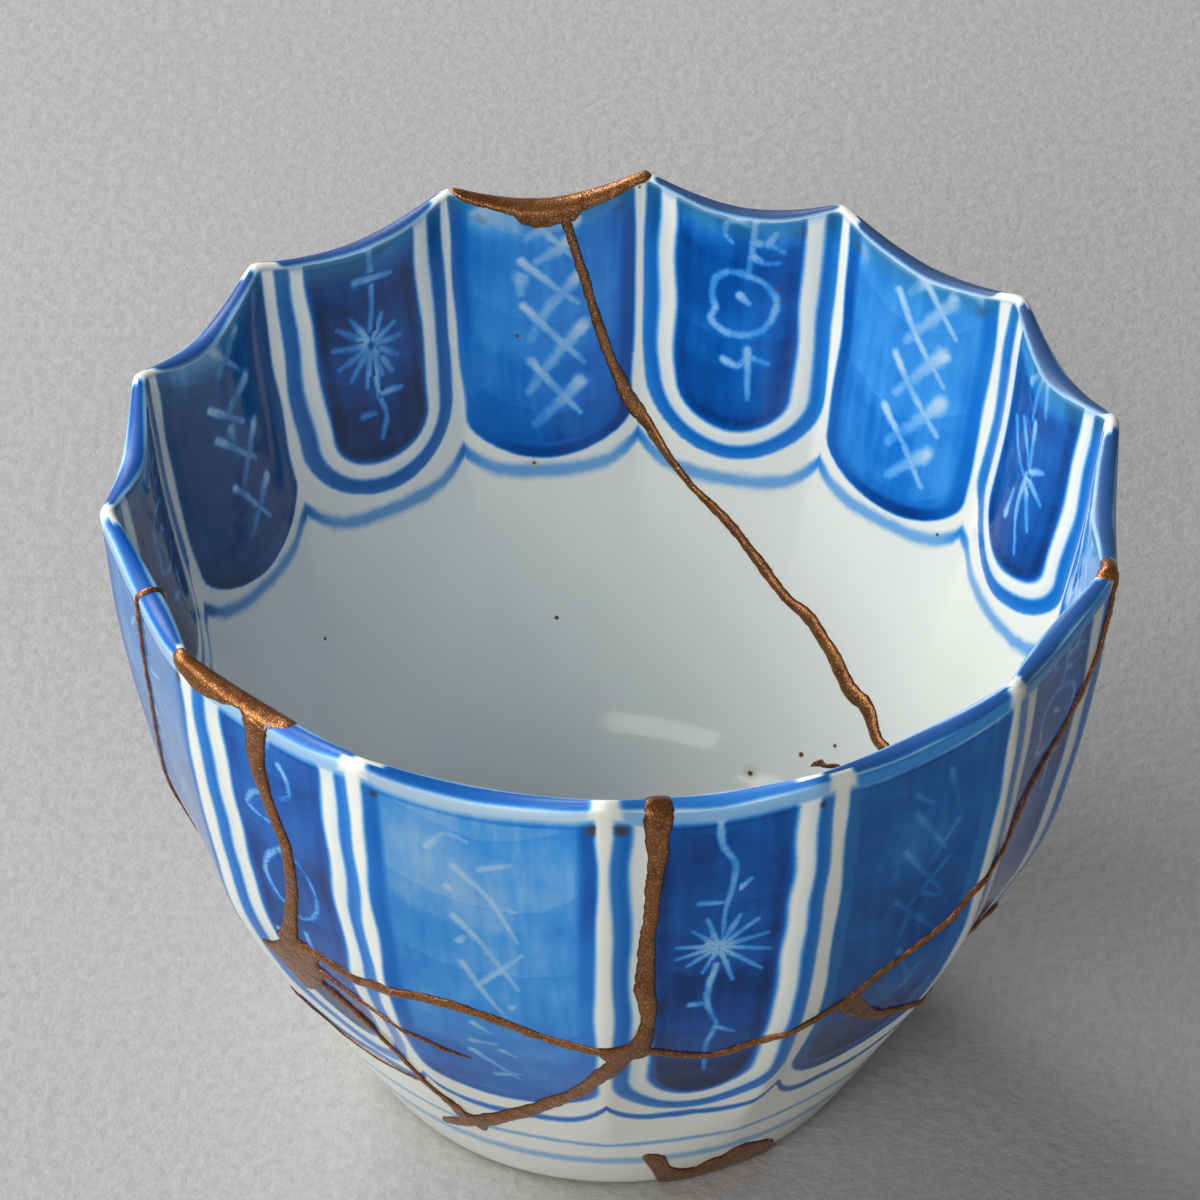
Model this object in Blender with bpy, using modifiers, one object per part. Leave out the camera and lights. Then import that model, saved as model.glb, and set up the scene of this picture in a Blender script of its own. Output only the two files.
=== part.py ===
"""A fluted porcelain sake cup, broken and mended with gold lacquer.

Metres, +Z up. The cup stands on z = 0 with its axis on Z, and the front of the cup faces -Y.
The wall is turned, then pressed in between upright ridges. The lacquer is laid along the breaks,
and fills the chips in the lip and in the foot.
"""
import math

import bmesh
import bpy
import numpy as np
from mathutils import Vector

MM = 0.001

# Sizes of the porcelain
CUP_HEIGHT = 54.6 * MM
RIM_RADIUS = 38.0 * MM
LIP_THICKNESS = 1.15 * MM
BASE_WALL = 3.0 * MM
FLOOR_THICKNESS = 3.5 * MM
WELL_FLOOR_RADIUS = 14.0 * MM
WELL_CORNER_RISE = 6.5 * MM

# Sizes of the foot
FOOT_RADIUS = 19.7 * MM
FOOT_NECK_RADIUS = 22.0 * MM
FOOT_HEIGHT = 4.3 * MM
FOOT_RING_WIDTH = 3.2 * MM
FOOT_EDGE = 0.45 * MM
RECESS_DEPTH = 3.0 * MM

# The upright flutes
FLUTES = 14
FIRST_RIDGE_DEG = 9.7
RIDGE_SHIFT_DEG = (0, -1, 1, -0.5, -2, -0.5, -1.5, -2, -0.5, 1, 2, -0.5, 0.5, -2)
OUTER_FLUTE_DEPTH = 1.15 * MM
INNER_FLUTE_DEPTH = 1.9 * MM
LIP_SCALLOP = 1.5 * MM

# Free curve of the wall between the foot's neck and the lip, as shares of its rise and its reach
WALL_RISE = (0, 0.08, 0.16, 0.26, 0.36, 0.48, 0.62, 0.80, 1)
WALL_REACH = (0, 0.135, 0.275, 0.445, 0.60, 0.76, 0.86, 0.95, 1)

# Where the flutes start and reach their full depth, as shares of the cup's height
FLUTE_START = 0.08
FLUTE_FULL = 0.38
INNER_FLUTE_START = 0.3
INNER_FLUTE_FULL = 0.66
SCALLOP_START = 0.72

# Lacquer
PIECE_GAP = 0.3 * MM
SEAM_HEIGHT = 0.3 * MM
SEAM_STEP = 2.0 * MM
LIP_STEP = 0.45 * MM
LIP_STEPS_EACH_SIDE = 2
SEAM_CROWN_SHARE = 0.5
FOOT_FILL_DEPTH = 1.3 * MM
CUTTER_MARGIN = 2.0 * MM

# Half the width of what a seam's end meets and stops short of, beside the gap
FRONT_JOINT_BESIDE = 1.4 * MM
FRONT_JOINT_BELOW = 1.6 * MM
LEFT_JOINT_BESIDE = 2.2 * MM
LEFT_JOINT_BETWEEN = 2.7 * MM
LEFT_JOINT_BELOW = 1.8 * MM
RIGHT_FORK = 0.55 * MM
BACK_FORK = 0.3 * MM
LOWER_FORK = 0.9 * MM
THIN_FORK = 0.6 * MM
FAR_LEFT_JOINT = 0.4 * MM
BACK_FILL_BELOW = 1.8 * MM
LEFT_FILL_BELOW = 1.6 * MM
RIGHT_FILL_BELOW = 1.2 * MM

# How finely the cup is turned
COLUMNS_PER_FLUTE = 6
OUTER_ROWS = 12
INNER_ROWS = 9
CORNER_ROWS = 4
LIP_ROWS = 4
SMOOTH_SPANS = 8
SHARP_DEG = 24
MERGE_DISTANCE = 0.01 * MM

# The breaks: angle in degrees, height in hundredths of the cup's height, width in millimetres
FRONT_BREAK = (
    (271.4, 50, 1.3), (273.2, 52, 1.25), (274.1, 56, 1.25), (273.6, 64, 1.45), (273.6, 70, 1.0),
    (274, 78, 0.85), (274.5, 88, 1.1), (274.7, 94, 1.5), (274.7, 98, 1.6),
)
RIGHT_BREAK = (
    (271.4, 50, 0.6), (275, 48, 0.6), (279, 45.5, 0.55), (284, 44.7, 0.55), (291, 49, 0.5), (299.9, 50.2, 0.7),
    (306.8, 54, 0.55), (314.4, 58.4, 0.55), (318, 63.4, 0.5), (323.9, 65.8, 0.5), (327.8, 72, 0.5),
    (335.5, 79, 0.5), (340.2, 87.7, 0.55), (342, 98, 0.6),
)
RIGHT_BRANCH = (
    (299.9, 50.2, 0.9), (302.5, 46.5, 0.85), (307.5, 40.8, 0.8), (312.3, 37.9, 0.6), (320, 36, 0.5),
    (332, 36.5, 0.5), (345, 36, 0.5), (358, 33, 0.55), (372, 30, 0.6), (384, 28.5, 0.7),
)
BACK_BREAK = (
    (384, 28.5, 0.9), (394.6, 28.4, 1.2), (400.8, 31, 1.6), (406, 32.1, 1.6), (416.3, 37.7, 1.3),
    (423, 40, 1.0), (433.8, 49.1, 1.0), (440, 53.8, 0.8), (446.5, 61.7, 1.3), (450.1, 69.8, 1.0),
    (452.5, 78.4, 0.9), (454.4, 88, 0.9), (456.5, 98, 0.9),
)
LEFT_BREAK = (
    (223.4, 50.5, 2.6), (224.6, 54, 1.4), (226.3, 59.2, 1.0), (228.1, 67.8, 0.95), (228.5, 73.4, 0.95),
    (228, 78, 0.95), (226.5, 86, 1.1), (226, 91, 1.5), (226.2, 98, 1.9),
)
LEFT_UPPER_BRANCH = (
    (223.4, 50.5, 1.0), (226.6, 52.8, 0.8), (235.4, 53.1, 0.7), (241.9, 55.9, 0.7), (249.3, 55.1, 0.65),
    (256, 52.7, 0.65), (262.7, 50.5, 0.65), (271.4, 50, 0.7),
)
LEFT_MIDDLE_BRANCH = (
    (223.4, 50.5, 0.5), (227.7, 48.6, 0.4), (232.5, 46.9, 0.35), (241.9, 46, 0.35), (247.1, 41.6, 0.3),
    (250.1, 40.1, 0.25),
)
LEFT_LOWER_BRANCH = (
    (223.4, 50.5, 0.8), (224.2, 46, 0.65), (228.5, 41.6, 0.5), (232.1, 38.1, 0.5), (234.6, 34.4, 0.5),
    (237.1, 31.1, 0.5), (239.3, 26.5, 0.55), (242.2, 23, 0.6), (243.2, 16.2, 0.6),
)
LEFT_THIN_BRANCH = (
    (214, 33.3, 0.3), (217.4, 28.4, 0.3), (220.7, 25, 0.3), (226.1, 23.6, 0.3), (232.5, 24.4, 0.3),
    (239.3, 26.5, 0.3),
)
BOTTOM_ARC = (
    (230.1, 8.4, 0.25), (237.9, 13.2, 0.7), (243.2, 16.2, 0.9), (249.8, 20.7, 0.9), (255.8, 25.1, 0.9),
    (260.7, 30.2, 0.9), (265.2, 36.1, 0.9), (268.3, 43.2, 0.9), (271.4, 50, 1.0),
)
FAR_LEFT_BREAK = (
    (214, 33.3, 0.35), (206, 35, 0.35), (197, 38.5, 0.35), (191, 44, 0.35), (189.5, 52, 0.4),
    (192.2, 60.8, 0.45), (196.1, 71.2, 0.5), (198.7, 80.4, 0.55), (199.8, 92, 0.6), (200.5, 98, 0.7),
)

# Chips in the lip that are filled with lacquer: angle in degrees, depth below the lip in metres
BACK_CHIP = (
    (85.6, 0.7 * MM), (88, 1.0 * MM), (91, 1.2 * MM), (94.5, 1.6 * MM), (97, 2.2 * MM),
    (100.5, 2.1 * MM), (103, 1.4 * MM), (107, 0.9 * MM), (110.2, 0.6 * MM),
)
LEFT_CHIP = (
    (213.6, 0.7 * MM), (217, 1.0 * MM), (222, 1.2 * MM), (226, 1.4 * MM), (229, 1.1 * MM), (232, 0.7 * MM),
)
RIGHT_CHIP = ((340.2, 0.7 * MM), (342.3, 1.0 * MM), (344.6, 0.7 * MM))

# The chip in the foot: angle in degrees, low and high edge as shares of the foot's height
FOOT_CHIP = (
    (275.6, 1.45, 1.63), (277.4, 0.85, 1.60), (279, 0.35, 1.52), (280.8, -0.3, 1.02),
    (283.7, -0.3, 0.66), (288, -0.3, 0.70), (292.4, -0.3, 0.66), (295, -0.3, 0.86), (297, -0.3, 1.06),
    (301.5, -0.3, 0.62), (306.8, -0.3, 0.42),
)

PORCELAIN_COLOUR = (0.40, 0.52, 0.68, 1)
PORCELAIN_ROUGHNESS = 0.12
LACQUER_COLOUR = (0.27, 0.12, 0.045, 1)
LACQUER_ROUGHNESS = 0.42
LACQUER_METALLIC = 0.75

LIP_BASE = CUP_HEIGHT - LIP_THICKNESS / 2
FLOOR_TOP = RECESS_DEPTH + FLOOR_THICKNESS
CORNER_TOP = FLOOR_TOP + WELL_CORNER_RISE
NORMAL_REACH = LIP_THICKNESS / 8
SEAM_OUTLINE = ((-1, 0), (-SEAM_CROWN_SHARE, SEAM_HEIGHT), (SEAM_CROWN_SHARE, SEAM_HEIGHT), (1, 0))
OUTSIDE = 1
INSIDE = -1


def clear_scene():
    for item in list(bpy.data.objects):
        bpy.data.objects.remove(item, do_unlink=True)


def make_collection(name):
    collection = bpy.data.collections.new(name)
    bpy.context.scene.collection.children.link(collection)
    return collection


def make_material(name, colour, roughness, metallic):
    material = bpy.data.materials.new(name)
    material.use_nodes = True
    shader = material.node_tree.nodes["Principled BSDF"]
    shader.inputs["Base Color"].default_value = colour
    shader.inputs["Roughness"].default_value = roughness
    shader.inputs["Metallic"].default_value = metallic
    material.diffuse_color = colour
    return material


def smooth_step(share):
    share = np.clip(share, 0, 1)
    return share * share * (3 - 2 * share)


def smooth_curve(place, knots, values):
    """A smooth line through the given values, read at each place."""
    knots = np.asarray(knots, dtype=float)
    values = np.asarray(values, dtype=float)
    slopes = np.gradient(values, knots)
    place = np.clip(place, knots[0], knots[-1])
    span = np.clip(np.searchsorted(knots, place, side="right") - 1, 0, len(knots) - 2)
    width = knots[span + 1] - knots[span]
    share = (place - knots[span]) / width
    rest = 1 - share
    start = values[span] * (1 + 2 * share) * rest ** 2
    end = values[span + 1] * (3 - 2 * share) * share ** 2
    lean = width * share * rest * (slopes[span] * rest - slopes[span + 1] * share)
    return start + end + lean


# The turned form of the cup

def outer_radius(height):
    rise = (height - FOOT_HEIGHT) / (LIP_BASE - FOOT_HEIGHT)
    reach = smooth_curve(rise, WALL_RISE, WALL_REACH)
    wall = FOOT_NECK_RADIUS + (RIM_RADIUS - FOOT_NECK_RADIUS) * reach
    foot = FOOT_RADIUS + (FOOT_NECK_RADIUS - FOOT_RADIUS) * np.clip(height / FOOT_HEIGHT, 0, 1)
    return np.where(height < FOOT_HEIGHT, foot, wall)


def wall_thickness(height):
    rise = np.clip((height - FOOT_HEIGHT) / (LIP_BASE - FOOT_HEIGHT), 0, 1)
    return BASE_WALL + (LIP_THICKNESS - BASE_WALL) * rise


def inner_radius(height):
    return outer_radius(height) - wall_thickness(height)


def outer_wall(rows):
    heights = np.linspace(FOOT_HEIGHT, LIP_BASE, rows + 1)
    return [(float(outer_radius(height)), height) for height in heights]


def inner_wall(rows):
    heights = np.linspace(LIP_BASE, CORNER_TOP, rows + 1)
    return [(float(inner_radius(height)), height) for height in heights]


def lip_arc(rows):
    """The round top of the lip, from the outside to the inside, without its two ends."""
    half = LIP_THICKNESS / 2
    turns = [math.pi * row / rows for row in range(1, rows)]
    return [(RIM_RADIUS - half + half * math.cos(turn), LIP_BASE + half * math.sin(turn)) for turn in turns]


def well_corner(rows):
    """The bend from the inner wall to the floor, without its upper end."""
    top = float(inner_radius(CORNER_TOP))
    lean = (top - float(inner_radius(CORNER_TOP - FOOT_EDGE))) / FOOT_EDGE
    bend = max(top - lean * WELL_CORNER_RISE, WELL_FLOOR_RADIUS)
    points = []
    for row in range(1, rows + 1):
        share = row / rows
        rest = 1 - share
        radius = rest * rest * top + 2 * rest * share * bend + share * share * WELL_FLOOR_RADIUS
        points.append((radius, FLOOR_TOP + rest * rest * WELL_CORNER_RISE))
    return points


def foot_profile():
    """From below the neck, down the foot's outer side, under the ring and across the recess."""
    ring_inside = FOOT_RADIUS - FOOT_RING_WIDTH
    return [
        (FOOT_RADIUS + FOOT_EDGE / 4, FOOT_EDGE),
        (FOOT_RADIUS - FOOT_EDGE, 0),
        (ring_inside + FOOT_EDGE, 0),
        (ring_inside, FOOT_EDGE),
        (ring_inside - FOOT_EDGE, RECESS_DEPTH - FOOT_EDGE),
        (ring_inside - 2 * FOOT_EDGE, RECESS_DEPTH),
        (ring_inside / 2, RECESS_DEPTH),
        (0, RECESS_DEPTH),
    ]


def turned_profile():
    """The cup's half section, from the floor's centre over the lip to the recess's centre."""
    inside = list(reversed(inner_wall(INNER_ROWS) + well_corner(CORNER_ROWS)))
    floor = [(0, FLOOR_TOP), (WELL_FLOOR_RADIUS / 2, FLOOR_TOP)]
    lip = list(reversed(lip_arc(LIP_ROWS)))
    outside = list(reversed(outer_wall(OUTER_ROWS)))
    return floor + inside + lip + outside + foot_profile()


# The flutes

def ridge_angles():
    """The ridges' even and real angles once round, the first ridge again at the end."""
    even = [FIRST_RIDGE_DEG + 360 * ridge / FLUTES for ridge in range(FLUTES + 1)]
    own = [ridge % FLUTES % len(RIDGE_SHIFT_DEG) for ridge in range(FLUTES + 1)]
    shifts = [RIDGE_SHIFT_DEG[ridge] for ridge in own]
    return np.array(even), np.array(even) + np.array(shifts)


EVEN_RIDGES, REAL_RIDGES = ridge_angles()


def uneven_angle(angle):
    """Moves an angle of the even turning to its place between the hand-set ridges."""
    turned = FIRST_RIDGE_DEG + (angle - FIRST_RIDGE_DEG) % 360
    return float(np.interp(turned, EVEN_RIDGES, REAL_RIDGES))


def flute_bow(angle):
    """0 on a ridge, 1 in the middle of a flute."""
    turned = REAL_RIDGES[0] + (angle - REAL_RIDGES[0]) % 360
    place = np.interp(turned, REAL_RIDGES, np.arange(FLUTES + 1.0)) % 1
    return float(4 * place * (1 - place))


def press(angle, radius, height):
    """A point of the turned cup after its flute is pressed in and its lip sags between the ridges."""
    bow = flute_bow(angle)
    across = np.clip((outer_radius(height) - radius) / wall_thickness(height), 0, 1)
    share = height / CUP_HEIGHT
    outer = OUTER_FLUTE_DEPTH * smooth_step((share - FLUTE_START) / (FLUTE_FULL - FLUTE_START))
    inner = INNER_FLUTE_DEPTH * smooth_step((share - INNER_FLUTE_START) / (INNER_FLUTE_FULL - INNER_FLUTE_START))
    depth = outer + (inner - outer) * across
    sag = LIP_SCALLOP * smooth_step((share - SCALLOP_START) / (1 - SCALLOP_START))
    turn = math.radians(angle)
    reach = float(radius - depth * bow)
    return Vector((reach * math.cos(turn), reach * math.sin(turn), float(height - sag * bow)))


def lip_height(angle):
    return CUP_HEIGHT - LIP_SCALLOP * flute_bow(angle)


# Building the porcelain

def turned_mesh(name, collection):
    """Turns the profile with a Screw modifier and returns the mesh that it makes."""
    points = turned_profile()
    line = bpy.data.meshes.new(name)
    vertices = [(radius, 0, height) for radius, height in points]
    edges = [(index, index + 1) for index in range(len(points) - 1)]
    line.from_pydata(vertices, edges, [])
    guide = bpy.data.objects.new(name + "_profile", line)
    collection.objects.link(guide)
    screw = guide.modifiers.new("turn", "SCREW")
    screw.axis = "Z"
    screw.steps = FLUTES * COLUMNS_PER_FLUTE
    screw.render_steps = FLUTES * COLUMNS_PER_FLUTE
    screw.use_merge_vertices = True
    screw.merge_threshold = MERGE_DISTANCE
    graph = bpy.context.evaluated_depsgraph_get()
    mesh = bpy.data.meshes.new_from_object(guide.evaluated_get(graph))
    mesh.name = name
    bpy.data.objects.remove(guide, do_unlink=True)
    return mesh


def press_flutes(mesh):
    for vertex in mesh.vertices:
        radius = math.hypot(vertex.co.x, vertex.co.y)
        turned = math.degrees(math.atan2(vertex.co.y, vertex.co.x))
        even = FIRST_RIDGE_DEG + turned
        vertex.co = press(uneven_angle(even), radius, vertex.co.z)


def make_cup_mesh(collection):
    mesh = turned_mesh("cup_body", collection)
    press_flutes(mesh)
    mesh.shade_smooth()
    mesh.set_sharp_from_angle(angle=math.radians(SHARP_DEG))
    return mesh


def add_object(name, mesh, material, collection):
    mesh.materials.clear()
    mesh.materials.append(material)
    item = bpy.data.objects.new(name, mesh)
    collection.objects.link(item)
    return item


def loft(name, sections):
    """One closed mesh through sections that have the same number of corners."""
    mesh = bpy.data.meshes.new(name)
    build = bmesh.new()
    rings = [[build.verts.new(point) for point in section] for section in sections]
    corners = len(rings[0])
    for near, far in zip(rings, rings[1:]):
        for corner in range(corners):
            after = (corner + 1) % corners
            build.faces.new((near[corner], near[after], far[after], far[corner]))
    build.faces.new(rings[0])
    build.faces.new(rings[-1])
    bmesh.ops.recalc_face_normals(build, faces=build.faces)
    build.to_mesh(mesh)
    build.free()
    return mesh


def polar(angle, radius, height):
    turn = math.radians(angle)
    return Vector((radius * math.cos(turn), radius * math.sin(turn), height))


# Chips and their fills

def widened(stations, grow):
    """Stations whose first and last angles stand apart by the given length more."""
    spread = math.degrees(grow / RIM_RADIUS)
    moved = [list(station) for station in stations]
    moved[0][0] -= spread
    moved[-1][0] += spread
    return moved


def lip_chip_sections(stations, grow):
    near = RIM_RADIUS - LIP_THICKNESS - INNER_FLUTE_DEPTH - CUTTER_MARGIN
    far = RIM_RADIUS + CUTTER_MARGIN
    top = CUP_HEIGHT + CUTTER_MARGIN
    sections = []
    for angle, depth in widened(stations, grow):
        low = lip_height(angle) - depth - grow
        corners = ((near, low), (far, low), (far, top), (near, top))
        sections.append([polar(angle, radius, height) for radius, height in corners])
    return sections


def foot_chip_sections(stations, grow):
    """Sections that follow the cup's outer side at the depth of the chip."""
    sections = []
    for angle, low_share, high_share in widened(stations, grow):
        low = low_share * FOOT_HEIGHT - grow
        high = high_share * FOOT_HEIGHT + grow
        middle = (low + high) / 2
        depth = FOOT_FILL_DEPTH + grow
        near = [(float(outer_radius(height)) - depth, height) for height in (high, middle, low)]
        far = [(FOOT_NECK_RADIUS + 2 * CUTTER_MARGIN, height) for height in (low, high)]
        sections.append([polar(angle, radius, height) for radius, height in near + far])
    return sections


def make_cutter(name, sections, collection):
    cutter = bpy.data.objects.new(name, loft(name, sections))
    cutter.hide_render = True
    cutter.display_type = "WIRE"
    collection.objects.link(cutter)
    return cutter


def add_boolean(item, operation, cutter):
    boolean = item.modifiers.new(cutter.name, "BOOLEAN")
    boolean.operation = operation
    boolean.solver = "EXACT"
    boolean.object = cutter


def fill_chip(name, make_sections, stations, cup, lacquer, parts, cutters):
    """Cuts the chip out of the cup and fills it with a piece of the cup's own form in lacquer."""
    notch = make_cutter(name + "_notch", make_sections(stations, PIECE_GAP), cutters)
    plug = make_cutter(name + "_plug", make_sections(stations, 0), cutters)
    fill = add_object(name, cup.data.copy(), lacquer, parts)
    add_boolean(fill, "INTERSECT", plug)
    add_boolean(cup, "DIFFERENCE", notch)


# Lacquer seams along the breaks

def skin_line():
    """The cup's skin from the foot over the lip to the well, as lengths, radii and heights."""
    points = [(FOOT_RADIUS, 0)] + outer_wall(OUTER_ROWS * SMOOTH_SPANS) + lip_arc(LIP_ROWS * SMOOTH_SPANS)
    crown = len(points) - LIP_ROWS * SMOOTH_SPANS // 2
    points += inner_wall(INNER_ROWS * SMOOTH_SPANS) + well_corner(CORNER_ROWS * SMOOTH_SPANS)
    radii, heights = np.array(points).T
    steps = np.hypot(np.diff(radii), np.diff(heights))
    lengths = np.concatenate(([0], np.cumsum(steps)))
    return lengths, radii, heights, crown


SKIN_LENGTHS, SKIN_RADII, SKIN_HEIGHTS, SKIN_CROWN = skin_line()


def skin_length(height, side):
    """How far along the skin a height is, on the outside or the inside."""
    if side == OUTSIDE:
        return float(np.interp(height, SKIN_HEIGHTS[:SKIN_CROWN], SKIN_LENGTHS[:SKIN_CROWN]))
    heights = SKIN_HEIGHTS[SKIN_CROWN:][::-1]
    return float(np.interp(height, heights, SKIN_LENGTHS[SKIN_CROWN:][::-1]))


def skin_point(angle, length, lift):
    """A point at a small height over the skin."""
    radius = float(np.interp(length, SKIN_LENGTHS, SKIN_RADII))
    height = float(np.interp(length, SKIN_LENGTHS, SKIN_HEIGHTS))
    before = length - NORMAL_REACH
    after = length + NORMAL_REACH
    out = float(np.interp(after, SKIN_LENGTHS, SKIN_HEIGHTS) - np.interp(before, SKIN_LENGTHS, SKIN_HEIGHTS))
    up = float(np.interp(before, SKIN_LENGTHS, SKIN_RADII) - np.interp(after, SKIN_LENGTHS, SKIN_RADII))
    size = math.hypot(out, up)
    turn = math.radians(angle)
    normal = Vector((out * math.cos(turn), out * math.sin(turn), up)) / size
    return press(angle, radius, height) + normal * lift


def smooth_break(points):
    """More points along a break, on a smooth line through the given ones."""
    knots = np.arange(len(points))
    places = np.linspace(0, knots[-1], knots[-1] * SMOOTH_SPANS + 1)
    return np.column_stack([smooth_curve(places, knots, column) for column in np.array(points, dtype=float).T])


def lay_break(points, side):
    """Angle, length along the skin and width of each point of a break on one side of the wall."""
    rows = []
    for angle, height_share, width in smooth_break(points):
        length = skin_length(height_share / 100 * CUP_HEIGHT, side)
        rows.append((angle, length, width * MM))
    return rows


def over_the_lip(points):
    """A break that runs up the outside, over the lip and down the inside."""
    outside = lay_break(points, OUTSIDE)
    inside = lay_break(points, INSIDE)
    return outside + list(reversed(inside))


def path_distances(rows):
    places = [skin_point(angle, length, 0) for angle, length, width in rows]
    steps = [(after - before).length for before, after in zip(places, places[1:])]
    return np.concatenate(([0], np.cumsum(steps)))


def station_distances(first, last, crest):
    """Even steps along a seam, with short ones where it bends over the lip."""
    count = max(2, int(round((last - first) / SEAM_STEP)) + 1)
    stations = list(np.linspace(first, last, count))
    if crest is None:
        return stations
    reach = (LIP_STEPS_EACH_SIDE + 0.5) * LIP_STEP
    close = [crest + LIP_STEP * step for step in range(-LIP_STEPS_EACH_SIDE, LIP_STEPS_EACH_SIDE + 1)]
    far = [station for station in stations if abs(station - crest) > reach]
    return sorted(far + close)


def seam_sections(rows, start_clear, end_clear, crest_length):
    """Flat-topped beads of lacquer across the path, one section at each station."""
    distances = path_distances(rows)
    angles, lengths, widths = np.array(rows).T
    crest = None
    if crest_length is not None:
        crest = float(np.interp(crest_length, lengths, distances))
    sections = []
    for station in station_distances(start_clear, distances[-1] - end_clear, crest):
        near, far = station - LIP_STEP / 2, station + LIP_STEP / 2
        angle, length, width = (float(np.interp(station, distances, row)) for row in (angles, lengths, widths))
        radius = float(np.interp(length, SKIN_LENGTHS, SKIN_RADII))
        turn = np.interp(far, distances, angles) - np.interp(near, distances, angles)
        along = radius * math.radians(float(turn))
        climb = float(np.interp(far, distances, lengths) - np.interp(near, distances, lengths))
        size = math.hypot(along, climb)
        section = []
        for share, lift in SEAM_OUTLINE:
            offset = share * width / 2
            side_angle = angle - math.degrees(offset * climb / size / radius)
            side_length = length + offset * along / size
            section.append(skin_point(side_angle, side_length, PIECE_GAP + lift))
        sections.append(section)
    return sections


def make_seam(name, rows, start_room, end_room, lacquer, parts, crest_length=None):
    """Adds one seam. An end that meets another piece stops short of it by the given room and the gap."""
    start_clear = start_room + PIECE_GAP if start_room else 0
    end_clear = end_room + PIECE_GAP if end_room else 0
    mesh = loft(name, seam_sections(rows, start_clear, end_clear, crest_length))
    return add_object(name, mesh, lacquer, parts)


def make_seams(lacquer, parts):
    crest = float(SKIN_LENGTHS[SKIN_CROWN])
    make_seam("seam_front", over_the_lip(FRONT_BREAK), 0, 0, lacquer, parts, crest)
    make_seam("seam_far_left", over_the_lip(FAR_LEFT_BREAK), 0, 0, lacquer, parts, crest)
    for side, place in ((OUTSIDE, "outside"), (INSIDE, "inside")):
        seams = (
            ("seam_right_", RIGHT_BREAK, FRONT_JOINT_BESIDE, RIGHT_FILL_BELOW),
            ("seam_right_branch_", RIGHT_BRANCH, RIGHT_FORK, 0),
            ("seam_back_", BACK_BREAK, BACK_FORK, BACK_FILL_BELOW),
            ("seam_left_", LEFT_BREAK, 0, LEFT_FILL_BELOW),
            ("seam_left_upper_", LEFT_UPPER_BRANCH, LEFT_JOINT_BESIDE, FRONT_JOINT_BESIDE),
        )
        for start, points, first, last in seams:
            make_seam(start + place, lay_break(points, side), first, last, lacquer, parts)
    outer_seams = (
        ("seam_left_middle", LEFT_MIDDLE_BRANCH, LEFT_JOINT_BETWEEN, 0),
        ("seam_left_lower", LEFT_LOWER_BRANCH, LEFT_JOINT_BELOW, LOWER_FORK),
        ("seam_left_thin", LEFT_THIN_BRANCH, FAR_LEFT_JOINT, THIN_FORK),
        ("seam_bottom_arc", BOTTOM_ARC, 0, FRONT_JOINT_BELOW),
    )
    for name, points, first, last in outer_seams:
        make_seam(name, lay_break(points, OUTSIDE), first, last, lacquer, parts)


def main():
    clear_scene()
    parts = make_collection("kintsugi_sake_cup")
    cutters = make_collection("cutters")
    porcelain = make_material("glazed_porcelain", PORCELAIN_COLOUR, PORCELAIN_ROUGHNESS, 0)
    lacquer = make_material("gold_lacquer", LACQUER_COLOUR, LACQUER_ROUGHNESS, LACQUER_METALLIC)
    cup = add_object("cup_body", make_cup_mesh(cutters), porcelain, parts)
    chips = (
        ("rim_fill_back", lip_chip_sections, BACK_CHIP),
        ("rim_fill_left", lip_chip_sections, LEFT_CHIP),
        ("rim_fill_right", lip_chip_sections, RIGHT_CHIP),
        ("foot_fill", foot_chip_sections, FOOT_CHIP),
    )
    for name, make_sections, stations in chips:
        fill_chip(name, make_sections, stations, cup, lacquer, parts, cutters)
    make_seams(lacquer, parts)


main()
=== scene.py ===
"""The looks of a fluted porcelain sake cup, painted in cobalt blue and mended with gold lacquer.

Lengths are in millimetres, turned into metres where a mesh is made. +Z is up, the front faces -Y.
The cup's form and its breaks repeat the values of the part's source. The paint is worked out on the
mesh as distances to its lines, and the materials turn the distances into cobalt and glaze.
"""
import math
from types import SimpleNamespace

import bpy
import numpy as np
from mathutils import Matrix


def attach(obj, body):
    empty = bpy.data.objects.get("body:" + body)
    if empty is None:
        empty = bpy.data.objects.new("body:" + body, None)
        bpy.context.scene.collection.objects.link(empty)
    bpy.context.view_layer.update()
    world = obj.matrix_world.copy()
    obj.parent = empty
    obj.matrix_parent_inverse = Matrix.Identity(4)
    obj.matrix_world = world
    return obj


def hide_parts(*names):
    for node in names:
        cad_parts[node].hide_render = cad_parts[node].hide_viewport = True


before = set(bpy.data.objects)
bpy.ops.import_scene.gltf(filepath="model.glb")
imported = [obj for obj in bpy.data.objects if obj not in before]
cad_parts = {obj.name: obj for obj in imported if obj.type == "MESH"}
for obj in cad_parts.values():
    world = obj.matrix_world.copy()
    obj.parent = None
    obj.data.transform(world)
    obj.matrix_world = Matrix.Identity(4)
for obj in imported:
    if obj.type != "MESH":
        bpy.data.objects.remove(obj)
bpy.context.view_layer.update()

MM = 0.001

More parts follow.
